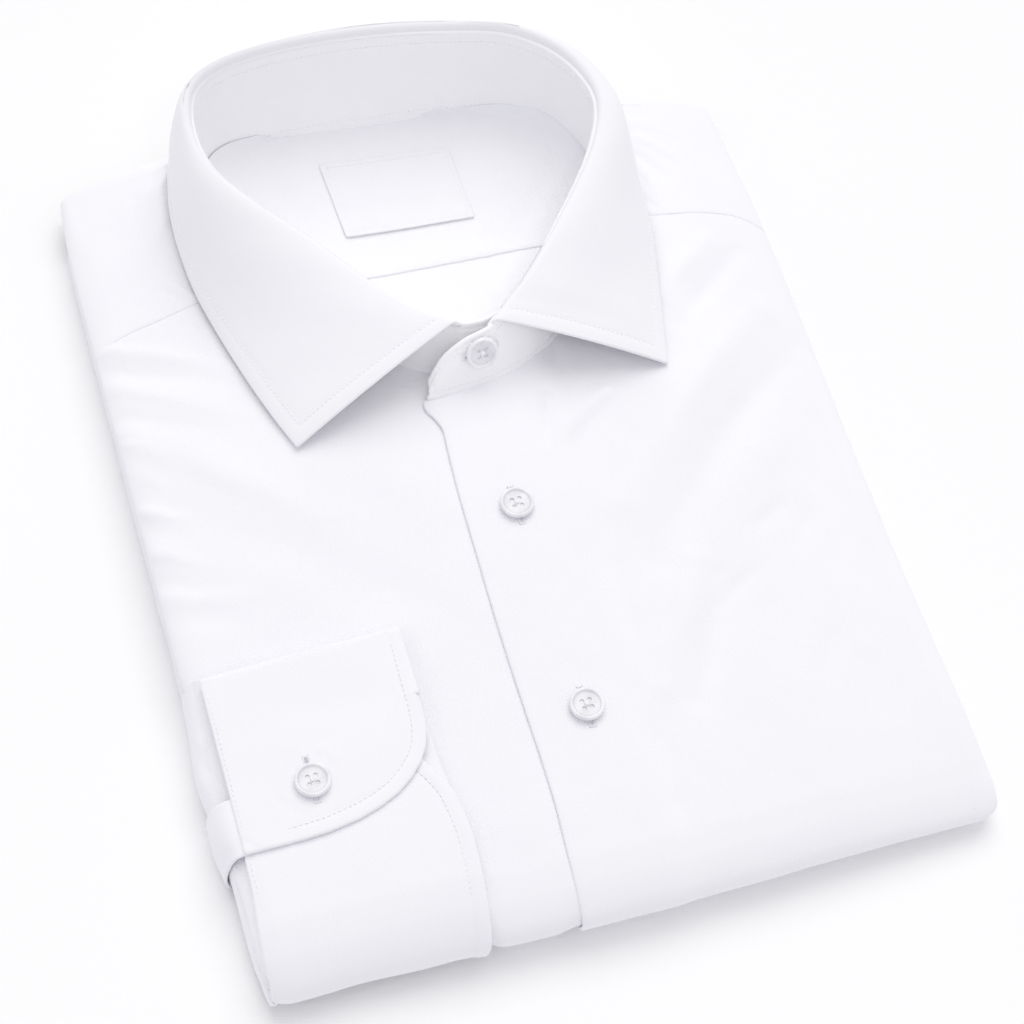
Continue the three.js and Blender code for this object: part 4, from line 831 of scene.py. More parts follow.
rs = np.concatenate([np.linspace(0.15, 5.2, int(46 * FINE)), np.linspace(5.3, 8.5, int(40 * FINE))])
e_l = seam_end(5.0, 9.0)
nl = [(177.3, PLACKET_EDGE), (178.6, PLACKET_EDGE), (179.8, PLACKET_EDGE), (180.8, PLACKET_EDGE), (181.6, PLACKET_EDGE)] + upto(neck_rows_of(rs), e_l[0])
rs = np.concatenate([np.linspace(22.2, 20.3, int(26 * FINE)), np.linspace(20.2, 17.5, int(34 * FINE))])
e_r = seam_end(21.0, 17.0)
nr = [(178, BUTTON_STAND), (180.5, BUTTON_STAND), (183, BUTTON_STAND), (185.5, BUTTON_STAND - 2.5), (188.6, BUTTON_STAND - 6)] + upto(neck_rows_of(rs), e_r[0])
F_LEFT = front("Front_left", "front_left", 1, PLACKET_EDGE, nl, e_l, CREASES_LEFT, left_lift, 1.25, 11)
F_RIGHT = front("Front_right", "front_right", -1, BUTTON_STAND, nr, e_r, CREASES_RIGHT, right_lift, 1.1, 21)

# ---------------------------------------------------------------- the yoke
CREASES_YOKE = [
    (-86.6, 291.6, -88.4, 277.4, -93.8, 265.9, 0.5, 0.7, 0, 2.6, 2.6),
    (-94.6, 289.5, -96.8, 276.3, -102.0, 265.6, -0.3, -0.5, -0.1, 3.6, 3),
    (-79.1, 303.9, -83.3, 295.0, -87.4, 286.2, 0.7, 0.6, 0.1, 1.7, 1.7),
    (-83.3, 305.0, -87.4, 296.0, -90.3, 289.4, -0.5, -0.5, 0, 2, 2),
    (-91.9, 251.3, -88.1, 246.4, -84.1, 241.2, 0.4, 0.4, 0.2, 1.1, 1.1),
    (-94.1, 247.4, -90.2, 243.3, -86.2, 239.8, -0.25, -0.3, -0.1, 1.2, 1.2),
    (-108.6, 284.0, -108.2, 266.4, -112.2, 250.7, 0.1, 0.4, 0.1, 5, 5),
    (-100.4, 292.3, -106.3, 278.2, -109.4, 266.9, -0.1, -0.35, -0.1, 4, 4),
    (88.9, 277.2, 96.4, 271.1, 104.8, 260.8, 0.5, 0.5, 0.1, 2, 2),
    (84.8, 269.9, 90.5, 261.4, 95.3, 250.5, -0.5, -0.5, -0.1, 2, 2),
    (85.1, 260.7, 86.3, 253.0, 86.0, 244.1, 0.45, 0.4, 0.1, 2, 2),
    (84.8, 286.2, 95.1, 283.2, 106.7, 277.0, 0.2, 0.3, 0.1, 2.4, 2.4),
    (108.8, 276.0, 111.4, 265.6, 110.6, 252.5, -0.1, -0.3, -0.1, 4, 4),
    (79.4, 249.8, 82.1, 246.3, 84.6, 242.3, -0.3, -0.35, -0.1, 1.4, 1.4),
]


def yoke():
    corner = 4.2
    o = []
    for side, order in ((-1, 1), (1, -1)):
        part = []
        yc = float(edge_y(side * 118.0)) - corner
        for f in (0, 0.28, 0.56, 0.8):
            y = lerp(float(seam_y(side * 121.0)) + 0.15, yc, f)
            part.append((side * float(side_x(side, y)), y, side, 0))
        for a in (20, 55, 85):
            xs = float(side_x(side, yc)); r = math.radians(a)
            part.append((side * (xs - corner + corner * math.cos(r)), yc + corner * math.sin(r) + (0.2 if a > 60 else 0), side * math.cos(r), math.sin(r)))
        if order > 0:
            o += part
        else:
            for x in (-98, -77, -54, -28, 0, 26, 50, 72, 92, 107):
                o.append((x, float(edge_y(x)), 0, 1))
            o += part[::-1]
    o = np.array(o, float)
    n = len(o)
    necks = np.array([18.75, 18.6, 18.4, 18.0, 17.5, 17.1, 16.7, 16.2, 15.7, 15.1, 14.3, 13.5, 12.7, 11.8, 11.0, 10.3, 9.7, 9.3, 9.1, 8.85, 8.6, 8.3, 7.9, 7.5])
    seg = np.linalg.norm(np.diff(o[:, :2], axis=0), axis=1)
    par = np.concatenate([[0], np.cumsum(np.sqrt(seg))])
    q = np.concatenate([np.linspace(par[k], par[k + 1], max(3, int(seg[k] / 1.7 * FINE)) + 1)[:-1] for k in range(n - 1)] + [par[-1:]])
    X, Y, OX, OY = [through(par, o[:, k], q)[:, None] for k in range(4)]
    l = np.hypot(OX, OY); OX, OY = OX / l, OY / l
    rowAt = np.interp(q, par, np.arange(n)) * (len(necks) - 1) / (n - 1)
    neck = neck_point(through(np.arange(len(necks)), necks, rowAt), -0.2)
    run = np.concatenate([[0], np.cumsum(np.hypot(np.diff(X[:, 0]), np.diff(Y[:, 0])))])[:, None]
    nf = int(46 * FINE)
    f = np.linspace(0, 1, nf)[None, :]
    # the fold is tighter where the outline turns its corners
    c1, c2 = np.interp([5, n - 6], np.arange(n), np.interp(par, q, run[:, 0]))
    near = np.minimum(np.abs(run - c1), np.abs(run - c2))
    w = 2.5 + (SIDE_TOP - 2.5) * smooth(3.0, 45, near)
    bx, by = X - OX * w, Y - OY * w
    xa, ya = lerp(neck[:, :1], bx, f), lerp(neck[:, 1:], by, f)
    deg = np.linspace(0, 180, int(18 * FINE) + 8)[1:][None, :]
    a = np.radians(deg); s, c = np.sin(a), np.cos(a)
    ww = np.where(deg <= 90, w, np.minimum(w, BAND_HALF))
    xb, yb = X - OX * ww * (1 - s), Y - OY * ww * (1 - s)
    nn = np.concatenate([np.full((1, nf), BAND_HALF), BAND_HALF * c], 1)
    x = np.concatenate([xa, xb], 1); y = np.concatenate([ya, yb], 1)
    # both lower edges lie along the seam
    y = y + (seam_y(x[:1]) + 0.1 - y[:1]) * (1 - smooth(0, 34, run)) + (seam_y(x[-1:]) + 0.1 - y[-1:]) * smooth(run[-1] - 34, run[-1], run)
    L = np.hypot(s / ww, c / BAND_HALF)
    mx = np.concatenate([np.zeros_like(xa), OX * s / ww / L], 1); my = np.concatenate([np.zeros_like(xa), OY * s / ww / L], 1)
    mz = np.concatenate([np.ones_like(xa), (c / BAND_HALF / L) * np.ones_like(OX)], 1)
    fl = np.concatenate([np.zeros((1, nf)), deg], 1)
    fade = np.cos(np.radians(np.clip(fl, 0, 90))) ** 0.5
    ds = y - seam_y(x)
    lift = 0.04 * np.exp(-(np.maximum(ds, 0) / 3.0) ** 2)
    lift = lift * (fl < 60) * (np.abs(x) > 60)
    lift = lift + creases(x, y, CREASES_YOKE) * 1.45 * fade + (waves(x, y, 11, 46) * 0.22 + waves(x, y, 31, 30) * 0.16 * smooth(0, 14, ds)) * fade
    skin = np.stack([x, y, STACK_MID + BAND_MID + nn * np.ones_like(x)], -1) + np.stack([mx, my, mz], -1) * lift[..., None]
    skin = press(skin)
    n0 = grid_normals(skin)
    sign = 1 if np.sum(n0 * np.stack([mx, my, mz], -1)) > 0 else -1
    mid = skin - n0 * sign * 0.45
    P = Parts()
    U = x + OX * np.concatenate([np.zeros(nf), np.radians(deg[0]) * 6.0])[None, :]; V = y + OY * np.concatenate([np.zeros(nf), np.radians(deg[0]) * 6.0])[None, :]
    outer, nrm = shell(P, mid, 0.9, np.stack([U, V], -1), sign)
    ob = P.make("Yoke", M_CLOTH)
    done(ob, "yoke")
    return dict(o=ob, outer=outer, n=nrm)


YOKE = yoke()


# ------------------------------------------------- inside the neck opening
def floor_z(x, y):
    return through(NECK_FLOOR["y"], NECK_FLOOR["z"], y) + 1.6 * (np.abs(x + 3) / 70) ** 2


CREASES_NECK = [
    (9.1, 238.3, 6.4, 231.4, 2.5, 221.8, -0.35, -0.35, -0.1, 1.2, 1.6),
    (19.4, 238.6, 16.1, 230.9, 11.4, 221.1, -0.3, -0.3, -0.1, 1.2, 1.6),
    (30.9, 237.7, 27.7, 231.7, 22.9, 225.6, 0.1, 0.25, 0.1, 2, 2),
    (-55.0, 284.4, -43.1, 274.2, -32.8, 258.0, -0.2, -0.6, -0.2, 5, 6),
    (-36.7, 285.3, -39.7, 273.6, -28.7, 253.1, 0.2, 0.35, 0.1, 5, 5),
    (58.0, 278.8, 49.7, 265.9, 38.7, 251.5, -0.2, -0.5, -0.2, 4, 4),
    (37.9, 287.3, 33.4, 271.6, 24.8, 254.6, 0.1, 0.4, 0.1, 6, 6),
]


def stand_foot(r):
    """Height of the stand's lower edge round the neckline."""
    bx, by = stand_at(r)[:2]
    return top_height(bx, by) * (1 + np.interp(r, [0, 4, 5.2, 22, 23, 24], [1.35, 1.3, 0, 0, -0.2, -0.4]) / STACK) + 0.45


def inset(name, node, right, left, top, mat, seed, lap):
    """Cloth from one side of the neckline to the other, its rim turned up to meet the stand."""
    m, k = int(64 * FINE), int(96 * FINE)
    t = np.linspace(0, 1, m)[:, None]
    s = np.linspace(0, 1, k)[None, :]
    a = neck_point(lerp(right[0], right[1], t[:, 0]), -0.2); b = neck_point(lerp(left[0], left[1], t[:, 0]), -0.2)
    x = lerp(a[:, :1], b[:, :1], s); y = lerp(a[:, 1:], b[:, 1:], s)
    span = np.hypot(a[:, 0] - b[:, 0], a[:, 1] - b[:, 1])[:, None]
    rim = np.minimum(s, 1 - s) * span
    z = floor_z(x, y) + top
    foot = np.where(s < 0.5, stand_foot(lerp(right[0], right[1], t[:, 0]))[:, None], stand_foot(lerp(left[0], left[1], t[:, 0]))[:, None])
    z = z + np.clip(foot + 0.5 - z, 2.6, 6.5) * (1 - smooth(0, 15, rim)) ** 2
    z = z + waves(x, y, seed, 42) * 0.35 + waves(x, y, seed + 1, 15) * 0.08 + creases(x, y, CREASES_NECK)
    z = z + lap(x, y)
    mid = np.stack([x, y, z], -1)
    sign = 1 if np.sum(grid_normals(mid)[..., 2]) > 0 else -1
    P = Parts()
    outer, nrm = shell(P, mid, 0.9, np.stack([x, y], -1), sign)
    o = P.make(name, mat)
    done(o, node)
    return dict(o=o, outer=outer, n=nrm, x=x, y=y)


INNER = inset("Yoke_inner", "yoke_inner", (7.24, 12.1), (19.12, 14.5), 0.45, M_INSIDE_SHADED, 41,
              lambda x, y: 0.25 * np.exp(-((y - 238.5) / 3.0) ** 2) * 0)
BACK = inset("Back", "back", (2.5, 7.5), (23.0, 18.86), -0.12, M_INSIDE_SHADED, 41,
             lambda x, y: -0.1 * smooth(234, 240, y))


# ------------------------------------------------------------ collar stand
def stand_point(r, up):
    bx, by, tx, ty, tz = stand_at(r)
    z0 = top_height(bx, by) * (1 + np.interp(r, [0, 4, 5.2, 22, 23, 24], [1.35, 1.3, 0, 0, -0.2, -0.4]) / STACK) + 0.45
    bow = np.sin(math.pi * np.clip(up, 0, 1)) * 0.9
    e = 0.06
    a = stand_at(np.maximum(0, r - e)); b = stand_at(np.minimum(24, r + e))
    dx, dy = b[0] - a[0], b[1] - a[1]
    l = np.maximum(np.hypot(dx, dy), 1e-6)
    top = tz - 0.35 * smooth(3, 4, r)
    return np.stack([lerp(bx, tx, up) + dy / l * bow, lerp(by, ty, up) - dx / l * bow, lerp(z0, top, up)], -1)


def collar_stand():
    ni, nj = int(330 * FINE), int(34 * FINE)
    r = np.concatenate([np.linspace(0, 3, int(50 * FINE)), np.linspace(3, 24, ni)[1:]])[:, None]
    up = np.linspace(-0.03, 1, nj)[None, :]
    r, up = np.broadcast_arrays(r, up)
    mid = stand_point(r, up)
    u, v = along(mid, 0), along(mid, 1)
    n = grid_normals(mid)
    # the band's seams: pressed in at its two rows of stitches, a little padded between
    w = v[:, -1:] * np.ones_like(v)
    t = w - v
    g = (0.16 * np.exp(-((v - 0.5) / 0.7) ** 2) - 0.2 * np.exp(-((v - 1.9) / 0.5) ** 2) - 0.12 * np.exp(-((v - 4.0) / 0.5) ** 2)
         - 0.2 * np.exp(-((t - 1.7) / 0.5) ** 2) - 0.12 * np.exp(-((t - 4.1) / 0.5) ** 2))
    soft = waves(u, v * 2, 51, 60) * 0.3 * np.sin(math.pi * np.clip(up, 0, 1))
    P = Parts()
    th = 1.5 + 2 * g
    mid = mid + n * soft[..., None]
    outer, n = shell(P, mid, th, np.stack([u, v], -1), 1)
    o = P.make("Collar_stand", M_STAND_LIT)
    done(o, "collar_stand", slot="collar_cloth")
    inner = mid - n * (th / 2)[..., None]
    return dict(o=o, outer=outer, inner=inner, n=n, v=v, r=r, u=u)


STANDM = collar_stand()


# ------------------------------------------------------------- collar fall
def fall_point(r, w):
    rx, ry, rz, ex, ey, off, bow = [at_row(FALL, k, r) for k in ("rx", "ry", "rz", "ex", "ey", "off", "bow")]
    ez = top_height(ex, ey) + off + CLOTH
    dx, dy = ex - rx, ey - ry
    d = np.hypot(dx, dy)
    ox, oy = dx / d, dy / d
    roll = 2.1
    wa = np.clip(w, 0, 0.2)
    a = np.radians(lerp(-8, 90, wa / 0.2))
    o1 = roll - roll * np.cos(a) - 0.2; z1 = rz - roll + roll * np.sin(a)
    # the roll comes over the stand's top and ends on its inner face
    k = np.clip(-w / 0.08, 0, 1)
    o1 = o1 - 1.45 * smooth(0, 0.8, k); z1 = z1 - 1.25 * k
    t = np.clip((w - 0.2) / 0.8, 0, 1)
    q = 1 - t
    p0o, p0z = roll - 0.2, rz
    drop = rz - ez
    p1o, p1z = p0o + np.minimum(4.2, 0.2 * d) + bow * 0.4, rz - 0.02 * drop
    steep = smooth(1.0, 2.6, drop / d)
    p1o = p1o + 0.5 * steep
    p2o, p2z = lerp(p0o, d, 0.56) + bow * 0.5, lerp(rz, ez, 0.5 - 0.17 * steep) + bow * 0.6
    o2 = q ** 3 * p0o + 3 * q * q * t * p1o + 3 * q * t * t * p2o + t ** 3 * d
    z2 = q ** 3 * p0z + 3 * q * q * t * p1z + 3 * q * t * t * p2z + t ** 3 * ez
    o = np.where(w < 0.2, o1, o2); z = np.where(w < 0.2, z1, z2)
    return np.stack([rx + ox * o, ry + oy * o, z], -1)


def collar_fall():
    ni = int(420 * FINE)
    r = np.linspace(0, 20, ni)
    w = np.concatenate([np.linspace(-0.08, 0, 5)[:-1], np.linspace(0, 0.2, int(16 * FINE))[:-1], np.linspace(0.2, 1, int(70 * FINE))])
    r, w = np.broadcast_arrays(r[:, None], w[None, :])
    skin = fall_point(r, w)
    n = -grid_normals(skin)
    u, v = along(skin, 0), along(skin, 1)
    e_out = v[:, -1:] - v
    e_a = u; e_b = u[-1:, :] - u
    edge = np.minimum(e_out, np.minimum(e_a, e_b))
    g = -0.17 * np.exp(-((edge - 5.0) / 0.6) ** 2) + 0.13 * np.exp(-((edge - 2.3) / 1.5) ** 2)
    g = g * smooth(0.16, 0.3, w)
    soft = (waves(u, v, 61, 70) * 0.45 + waves(u, v, 62, 26) * 0.1) * smooth(0.18, 0.5, w) * smooth(0, 14, edge)
    skin2 = skin + n * (g + soft)[..., None]
    n2 = grid_normals(skin2)
    sign = -1
    th = np.broadcast_to(1.3, skin2.shape[:2])
    mid = skin2 - n2 * sign * th[..., None] / 2
    P = Parts()
    outer, nn = shell(P, mid, th, np.stack([u, v], -1), sign, steps=4)
    o = P.make("Collar_fall", M_COLLAR_SHADED)
    done(o, "collar_fall", slot="collar_cloth")
    return dict(o=o, outer=outer, n=nn, u=u, v=v, w=w, r=r, edge=edge)


FALLM = collar_fall()


# -------------------------------------------------------------------- cuff
def front_top(x, kind, val):
    """A point and normal of the right front's skin under the cuff."""
    ax = np.abs(x)
    py = track(kind, val, np.full(np.shape(val), -110.0))[0]
    start = side_x(-1, np.where(kind == TURN, TURN_Y, py)) - SIDE_TOP
    rnd = ax > start
    ang = np.degrees(np.arcsin(np.clip((ax - start) / SIDE_TOP, 0, 1)))
    at, nrm = band_point(np.ones_like(ang), ang, kind, val, -1, BUTTON_STAND)
    y, z, ny, nz = track(kind, val, x)
    flat = np.stack([x, y + BAND_HALF * ny, z + BAND_HALF * nz], -1)
    fn = np.stack([np.zeros_like(ny), ny, nz], -1)
    return np.where(rnd[..., None], at, flat), np.where(rnd[..., None], nrm, fn)


CUFF_TOP = rows("x y",
    (-117.2, 38.2), (-99.0, 38.4), (-90.6, 38.9), (-80.8, 40.6), (-73.9, 42.8), (-67.4, 45.8), (-62.3, 49.6), (-58.2, 53.9),
    (-55.4, 58.6), (-53.6, 64.4), (-52.9, 72), (-52.6, 81), (-52.3, 91), (-52.3, 101))
CUFF_LOWER = rows("x y",
    (-53.0, -14), (-52.3, -6), (-51.4, 0), (-50.4, 7), (-49.7, 17), (-49.3, 27), (-49.9, 35), (-51.1, 42.4), (-53.6, 47.6),
    (-57.0, 53.4), (-58.6, 57))


def cuff_edge_top(y):
    return np.interp(y, CUFF_TOP["y"], CUFF_TOP["x"])


def cuff_edge_low(y):
    return np.interp(y, CUFF_LOWER["y"], CUFF_LOWER["x"])


CREASES_CUFF = [
    (-86.2, 65.3, -83.4, 61.4, -80.9, 56.6, 0.3, 0.28, 0.05, 1.4, 1.4),
    (-102.5, 51.5, -99.9, 48.4, -97.0, 45.3, -0.2, -0.25, -0.05, 1.3, 1.3),
    (-103.5, 87.0, -79.7, 80.4, -60.8, 79.0, -0.1, -0.35, -0.1, 7, 7),
    (-114.2, 68.8, -94.5, 72.1, -88.6, 82.9, 0.1, 0.3, 0.1, 6, 6),
    (-117.0, 42.5, -113.5, 40.6, -108.0, 39.9, 0.5, 0.35, 0, 1.6, 1.6),
]


def cuff():
    C = CUFF
    path = []       # kind, val, lift, right edge, direction of the wall
    # the first row is the end of the cuff; rows are closer where its corner rounds
    n_end = int(44 * FINE)
    ys = np.concatenate([np.linspace(38.4, 76, n_end), np.linspace(76, 96.8, int(24 * FINE))[1:]])
    for y in ys: path.append((TOP, y, CUFF_HIGH, -52.7, None, 0, C["left"]))
    m, r = (CUFF_HIGH + CUFF_LOW) / 2, (CUFF_HIGH - CUFF_LOW) / 2
    for a in np.linspace(12, 168, int(14 * FINE) + 4):
        k = math.radians(a)
        path.append((TOP, 97.3 + r * math.sin(k) * 1.1, m + r * math.cos(k), C["right"], (0, math.sin(k), math.cos(k)), 0, C["left"] + 1.4 * smooth(20, 160, a)))
    for y in np.linspace(96.7, 14, int(24 * FINE)): path.append((TOP, y, CUFF_LOW, -52.6 + 1.2 * smooth(60, 40, y), "down", 0, -115.4 - 1.0 * smooth(42, 30, y)))
    for a in np.linspace(8, 118, int(14 * FINE) + 4): path.append((TURN, a, CUFF_LOW - 1.1 * smooth(0, 60, a), -51.2 - a / 100, "down", 0, -117.0))
    path.append((TURN, 122, (CUFF_MID + CUFF_LOW) / 2 - 1.3, -51.8, "tip", 0, -117.3))
    for a in np.linspace(118, 8, int(14 * FINE) + 6): path.append((TURN, a, CUFF_MID - 1.4 * smooth(0, 60, a), float(cuff_edge_low(7 - a / 7)), None, 1, -118.1 + 0.002 * a))
    for y in np.linspace(14, C["under"], int(34 * FINE)): path.append((TOP, y, CUFF_MID, float(cuff_edge_low(y)), None, 1, float(np.interp(y, [11, 27, 38, 40], [-118.0, -117.0, -116.8, -115.4]))))
    kind = np.array([p[0] for p in path])[:, None]; val = np.array([p[1] for p in path])[:, None]
    lift = np.array([p[2] for p in path])[:, None]; right = np.array([p[3] for p in path])[:, None]
    left = np.array([p[6] for p in path])[:, None]
    nf = int(60 * FINE)
    f = np.concatenate([[-2, -1.6, -1.2, -0.8, -0.4], np.linspace(0, 1, nf)])[None, :]
    x = np.where(f < 0, lerp(-112.6, left + 0.28 * lift, -f / 2), lerp(-112.6, right, f))
    K, V_ = np.broadcast_to(kind, x.shape), np.array(np.broadcast_to(val, x.shape))
    # the end's first rows fan out from its rounded outline
    oy = np.linspace(38.2, 76.0, 400); oc = np.stack([cuff_edge_top(oy), oy], 1)
    oc = np.concatenate([[[-112.6, 38.3]], oc[oc[:, 0] > -112.0]])
    ol = np.concatenate([[0], np.cumsum(np.linalg.norm(np.diff(oc, axis=0), axis=1))]); ol /= ol[-1]
    t = np.linspace(0, 1, n_end)[:, None]
    g_ = 1 - (1 - f) ** 1.0
    ex = np.where(f < 0, x[:n_end], np.interp(g_, ol, oc[:, 0])); ey = np.where(f < 0, 38.3, np.interp(g_, ol, oc[:, 1]))
    x[:n_end] = lerp(ex, x[:n_end], t)
    V_[:n_end] = lerp(ey, 76.0, t)
    at, nrm = front_top(x, K, V_)
    half = C["wall"] / 2
    dirs = nrm.copy()
    for i, p in enumerate(path):
        if p[4] is None: continue
        if p[4] == "down": dirs[i] = -nrm[i]
        elif p[4] == "tip":
            a = math.radians(p[1]); dirs[i] = (0, -math.cos(a), -math.sin(a))
        else: dirs[i] = p[4]
    m0 = at + nrm * (lift - half)[..., None]
    # its fold is a little slanted
    m0[..., 1] += 1.1 * (x + 84) / 34 * np.where((K == TOP) & (lift != CUFF_MID), smooth(66, 97, V_), 0)
    mid = press(m0)
    U, V = x, along(m0, 0)
    V = np.broadcast_to(V[:, nf // 2][:, None], U.shape)
    n = grid_normals(mid)
    sign = 1 if np.sum(n * dirs) > 0 else -1
    # pressed in along its stitches, the edge beyond them a little full
    ytop = np.where(K == TOP, V_, 0)
    d_edge = right - x
    part = np.array([p[5] for p in path])[:, None]
    top_rows = (np.arange(len(path))[:, None] < len(ys) + 1)
    oy = np.linspace(38.2, 101, 260); ox = cuff_edge_top(oy)
    d_top = np.full(x.shape, 1e3)
    for a_, b_ in zip(ox, oy):
        d_top = np.minimum(d_top, np.hypot(x - a_, ytop - b_))
    d_low = np.where(part == 1, d_edge, 1e3)
    dist = np.where(top_rows, d_top, d_low)
    g = -0.24 * np.exp(-((dist - 4.0) / 0.6) ** 2) + 0.12 * np.exp(-((dist - 1.9) / 1.3) ** 2)
    g = g * (top_rows | (part == 1))
    # beside the left edge a low ridge, and along the under piece one pressed line
    g = g - 0.07 * np.exp(-((x + 114.9) / 0.6) ** 2) * (top_rows | (part == 1))
    g = g + 0.1 * np.exp(-((x + 103.6 - 0.03 * V_) / 1.1) ** 2) * (part == 1)
    soft = (waves(x, V, 71, 55) * 0.3 + creases(x, np.where(top_rows, ytop, 400), CREASES_CUFF)) * smooth(0, 12, dist) * top_rows
    soft = soft + waves(x, V, 73, 50) * 0.25 * (part == 1) * smooth(0, 12, dist)
    mid = mid + n * sign * (g + soft)[..., None]
    P = Parts()
    outer, nn = shell(P, mid, 1.45, np.stack([U, V], -1), sign, steps=4)
    o = P.make("Cuff_right", M_CUFF)
    done(o, "cuff_right", slot="collar_cloth")
    return dict(o=o, outer=outer, n=nn)


def cuff_skin(x, y, high=True):
    """A point on the cuff's upper or under end, and its normal."""
    x, y = np.asarray(x, float), np.asarray(y, float)
    at, nrm = front_top(x, np.full(x.shape, TOP), y)
    p = press(at + nrm * (CUFF_HIGH if high else CUFF_MID))
    return p, nrm


CUFFM = cuff()

# ------------------------------------------------------------------ sleeve
SLEEVE = [(-115.6, 26.0), (-119.2, 24.6), (-121.6, 20.0), (-122.6, 12.8), (-122.3, 6.0), (-120.8, 1.9)]
SLEEVE_SIDE = rows("y x", (-6, 2.6), (-3, 1.9), (3, 1.4), (17, 0.9), (30, 0.9), (39, 0.9), (47, -0.4), (60, -0.7), (66, -1.6), (72, -1.9), (88, -0.4), (99, 0.3))


def sleeve(name, node, lift, table, seed, wave):
    t = np.array(table, float)
    n = int(70 * FINE)
    yy = np.linspace(t[0, 0], t[-1, 0], n)
    order = np.argsort(t[:, 0])
    low = through(t[order, 0], t[order, 1], yy); pinch = through(t[order, 0], t[order, 2], yy)
    s = np.array(SLEEVE)
    k = np.linspace(0, 5, int(34 * FINE))
    sx, sz = through(np.arange(6), s[:, 0], k), through(np.arange(6), s[:, 1], k)
    drop = np.interp(k, [0, 1, 2, 3], [1, 1.2, 0.75, 0])
    pin = np.interp(k, [0, 1, 4, 5], [0, 0.9, 0.9, 0])
    Y = yy[:, None]
    turn = TURN_Y + 2.4
    c = np.where(Y < turn, np.sqrt(np.maximum(0.02, 1 - ((turn - Y) / 13.0) ** 2)), 1)
    X = sx[None, :] + pinch[:, None] * pin[None, :] + through(SLEEVE_SIDE["y"], SLEEVE_SIDE["x"], yy)[:, None] * np.interp(k, [0, 1, 2.2, 5], [0, 0.35, 1, 0.6])[None, :]
    Z = STACK_MID + 0.4 + (sz[None, :] - low[:, None] * drop[None, :] - STACK_MID - 0.4) * c
    gx, gz = np.gradient(X, axis=1), np.gradient(Z, axis=1)
    l = np.hypot(gx, gz)
    nx, nz = gz / l, -gx / l
    X2 = X + nx * (lift - 0.6); Z2 = Z + nz * (lift - 0.6)
    skin = press(np.stack([X2, np.broadcast_to(Y, X2.shape), Z2], -1))
    nn = grid_normals(skin)
    sign = 1 if np.sum(nn[..., 0]) < 0 else -1
    v = along(skin, 1)
    skin = skin + nn * sign * (wave(np.broadcast_to(Y, v.shape), v) + waves(Y, v, seed, 22) * 0.18)[..., None]
    P = Parts()
    outer, m = shell(P, skin, 1.0, np.stack([v, np.broadcast_to(Y, v.shape)], -1), sign)
    o = P.make(name, M_CLOTH)
    done(o, node)
    return dict(o=o, outer=outer, n=m)


SLEEVEM = sleeve("Sleeve_right", "sleeve_right", 0, [
    (100.2, 1.5, 0.4), (98.6, 2.4, 0.1), (90, 3.2, 0), (75, 3.6, 0), (60, 3.2, 0), (48, 2.6, 0.1), (38, 2.6, 0.2), (34, 3.0, 0.3), (22, 3.0, 0.4), (10, 2.6, 0.6),
    (6, 2.8, 1.0), (2, 2.8, 1.6), (-1.0, 2.8, 2.2), (-3.4, 2.8, 2.8)], 81, lambda y, v: (-0.75 * np.exp(-((v - 5.0 + 0.03 * y) / 0.6) ** 2) - 0.6 * np.exp(-((v - 7.6) / 0.7) ** 2)) * smooth(38, 30, y)
    + 0.7 * np.exp(-((v - 5.0) / 1.8) ** 2 - ((y - 80.0) / 3.0) ** 2) - 0.6 * np.exp(-((v - 5.5) / 1.8) ** 2 - ((y - 72.0) / 3.0) ** 2)
    - 0.35 * np.exp(-((v - 3.4) / 0.5) ** 2) * smooth(44, 50, y))
GAUNTLET = sleeve("Sleeve_placket", "sleeve_placket", 1.6, [
    (56.5, 0.6, 0), (50, 0.4, 0), (44, 0.3, 0), (38.4, 0.4, 0.2)], 83, lambda y, v: 0.0 * y)


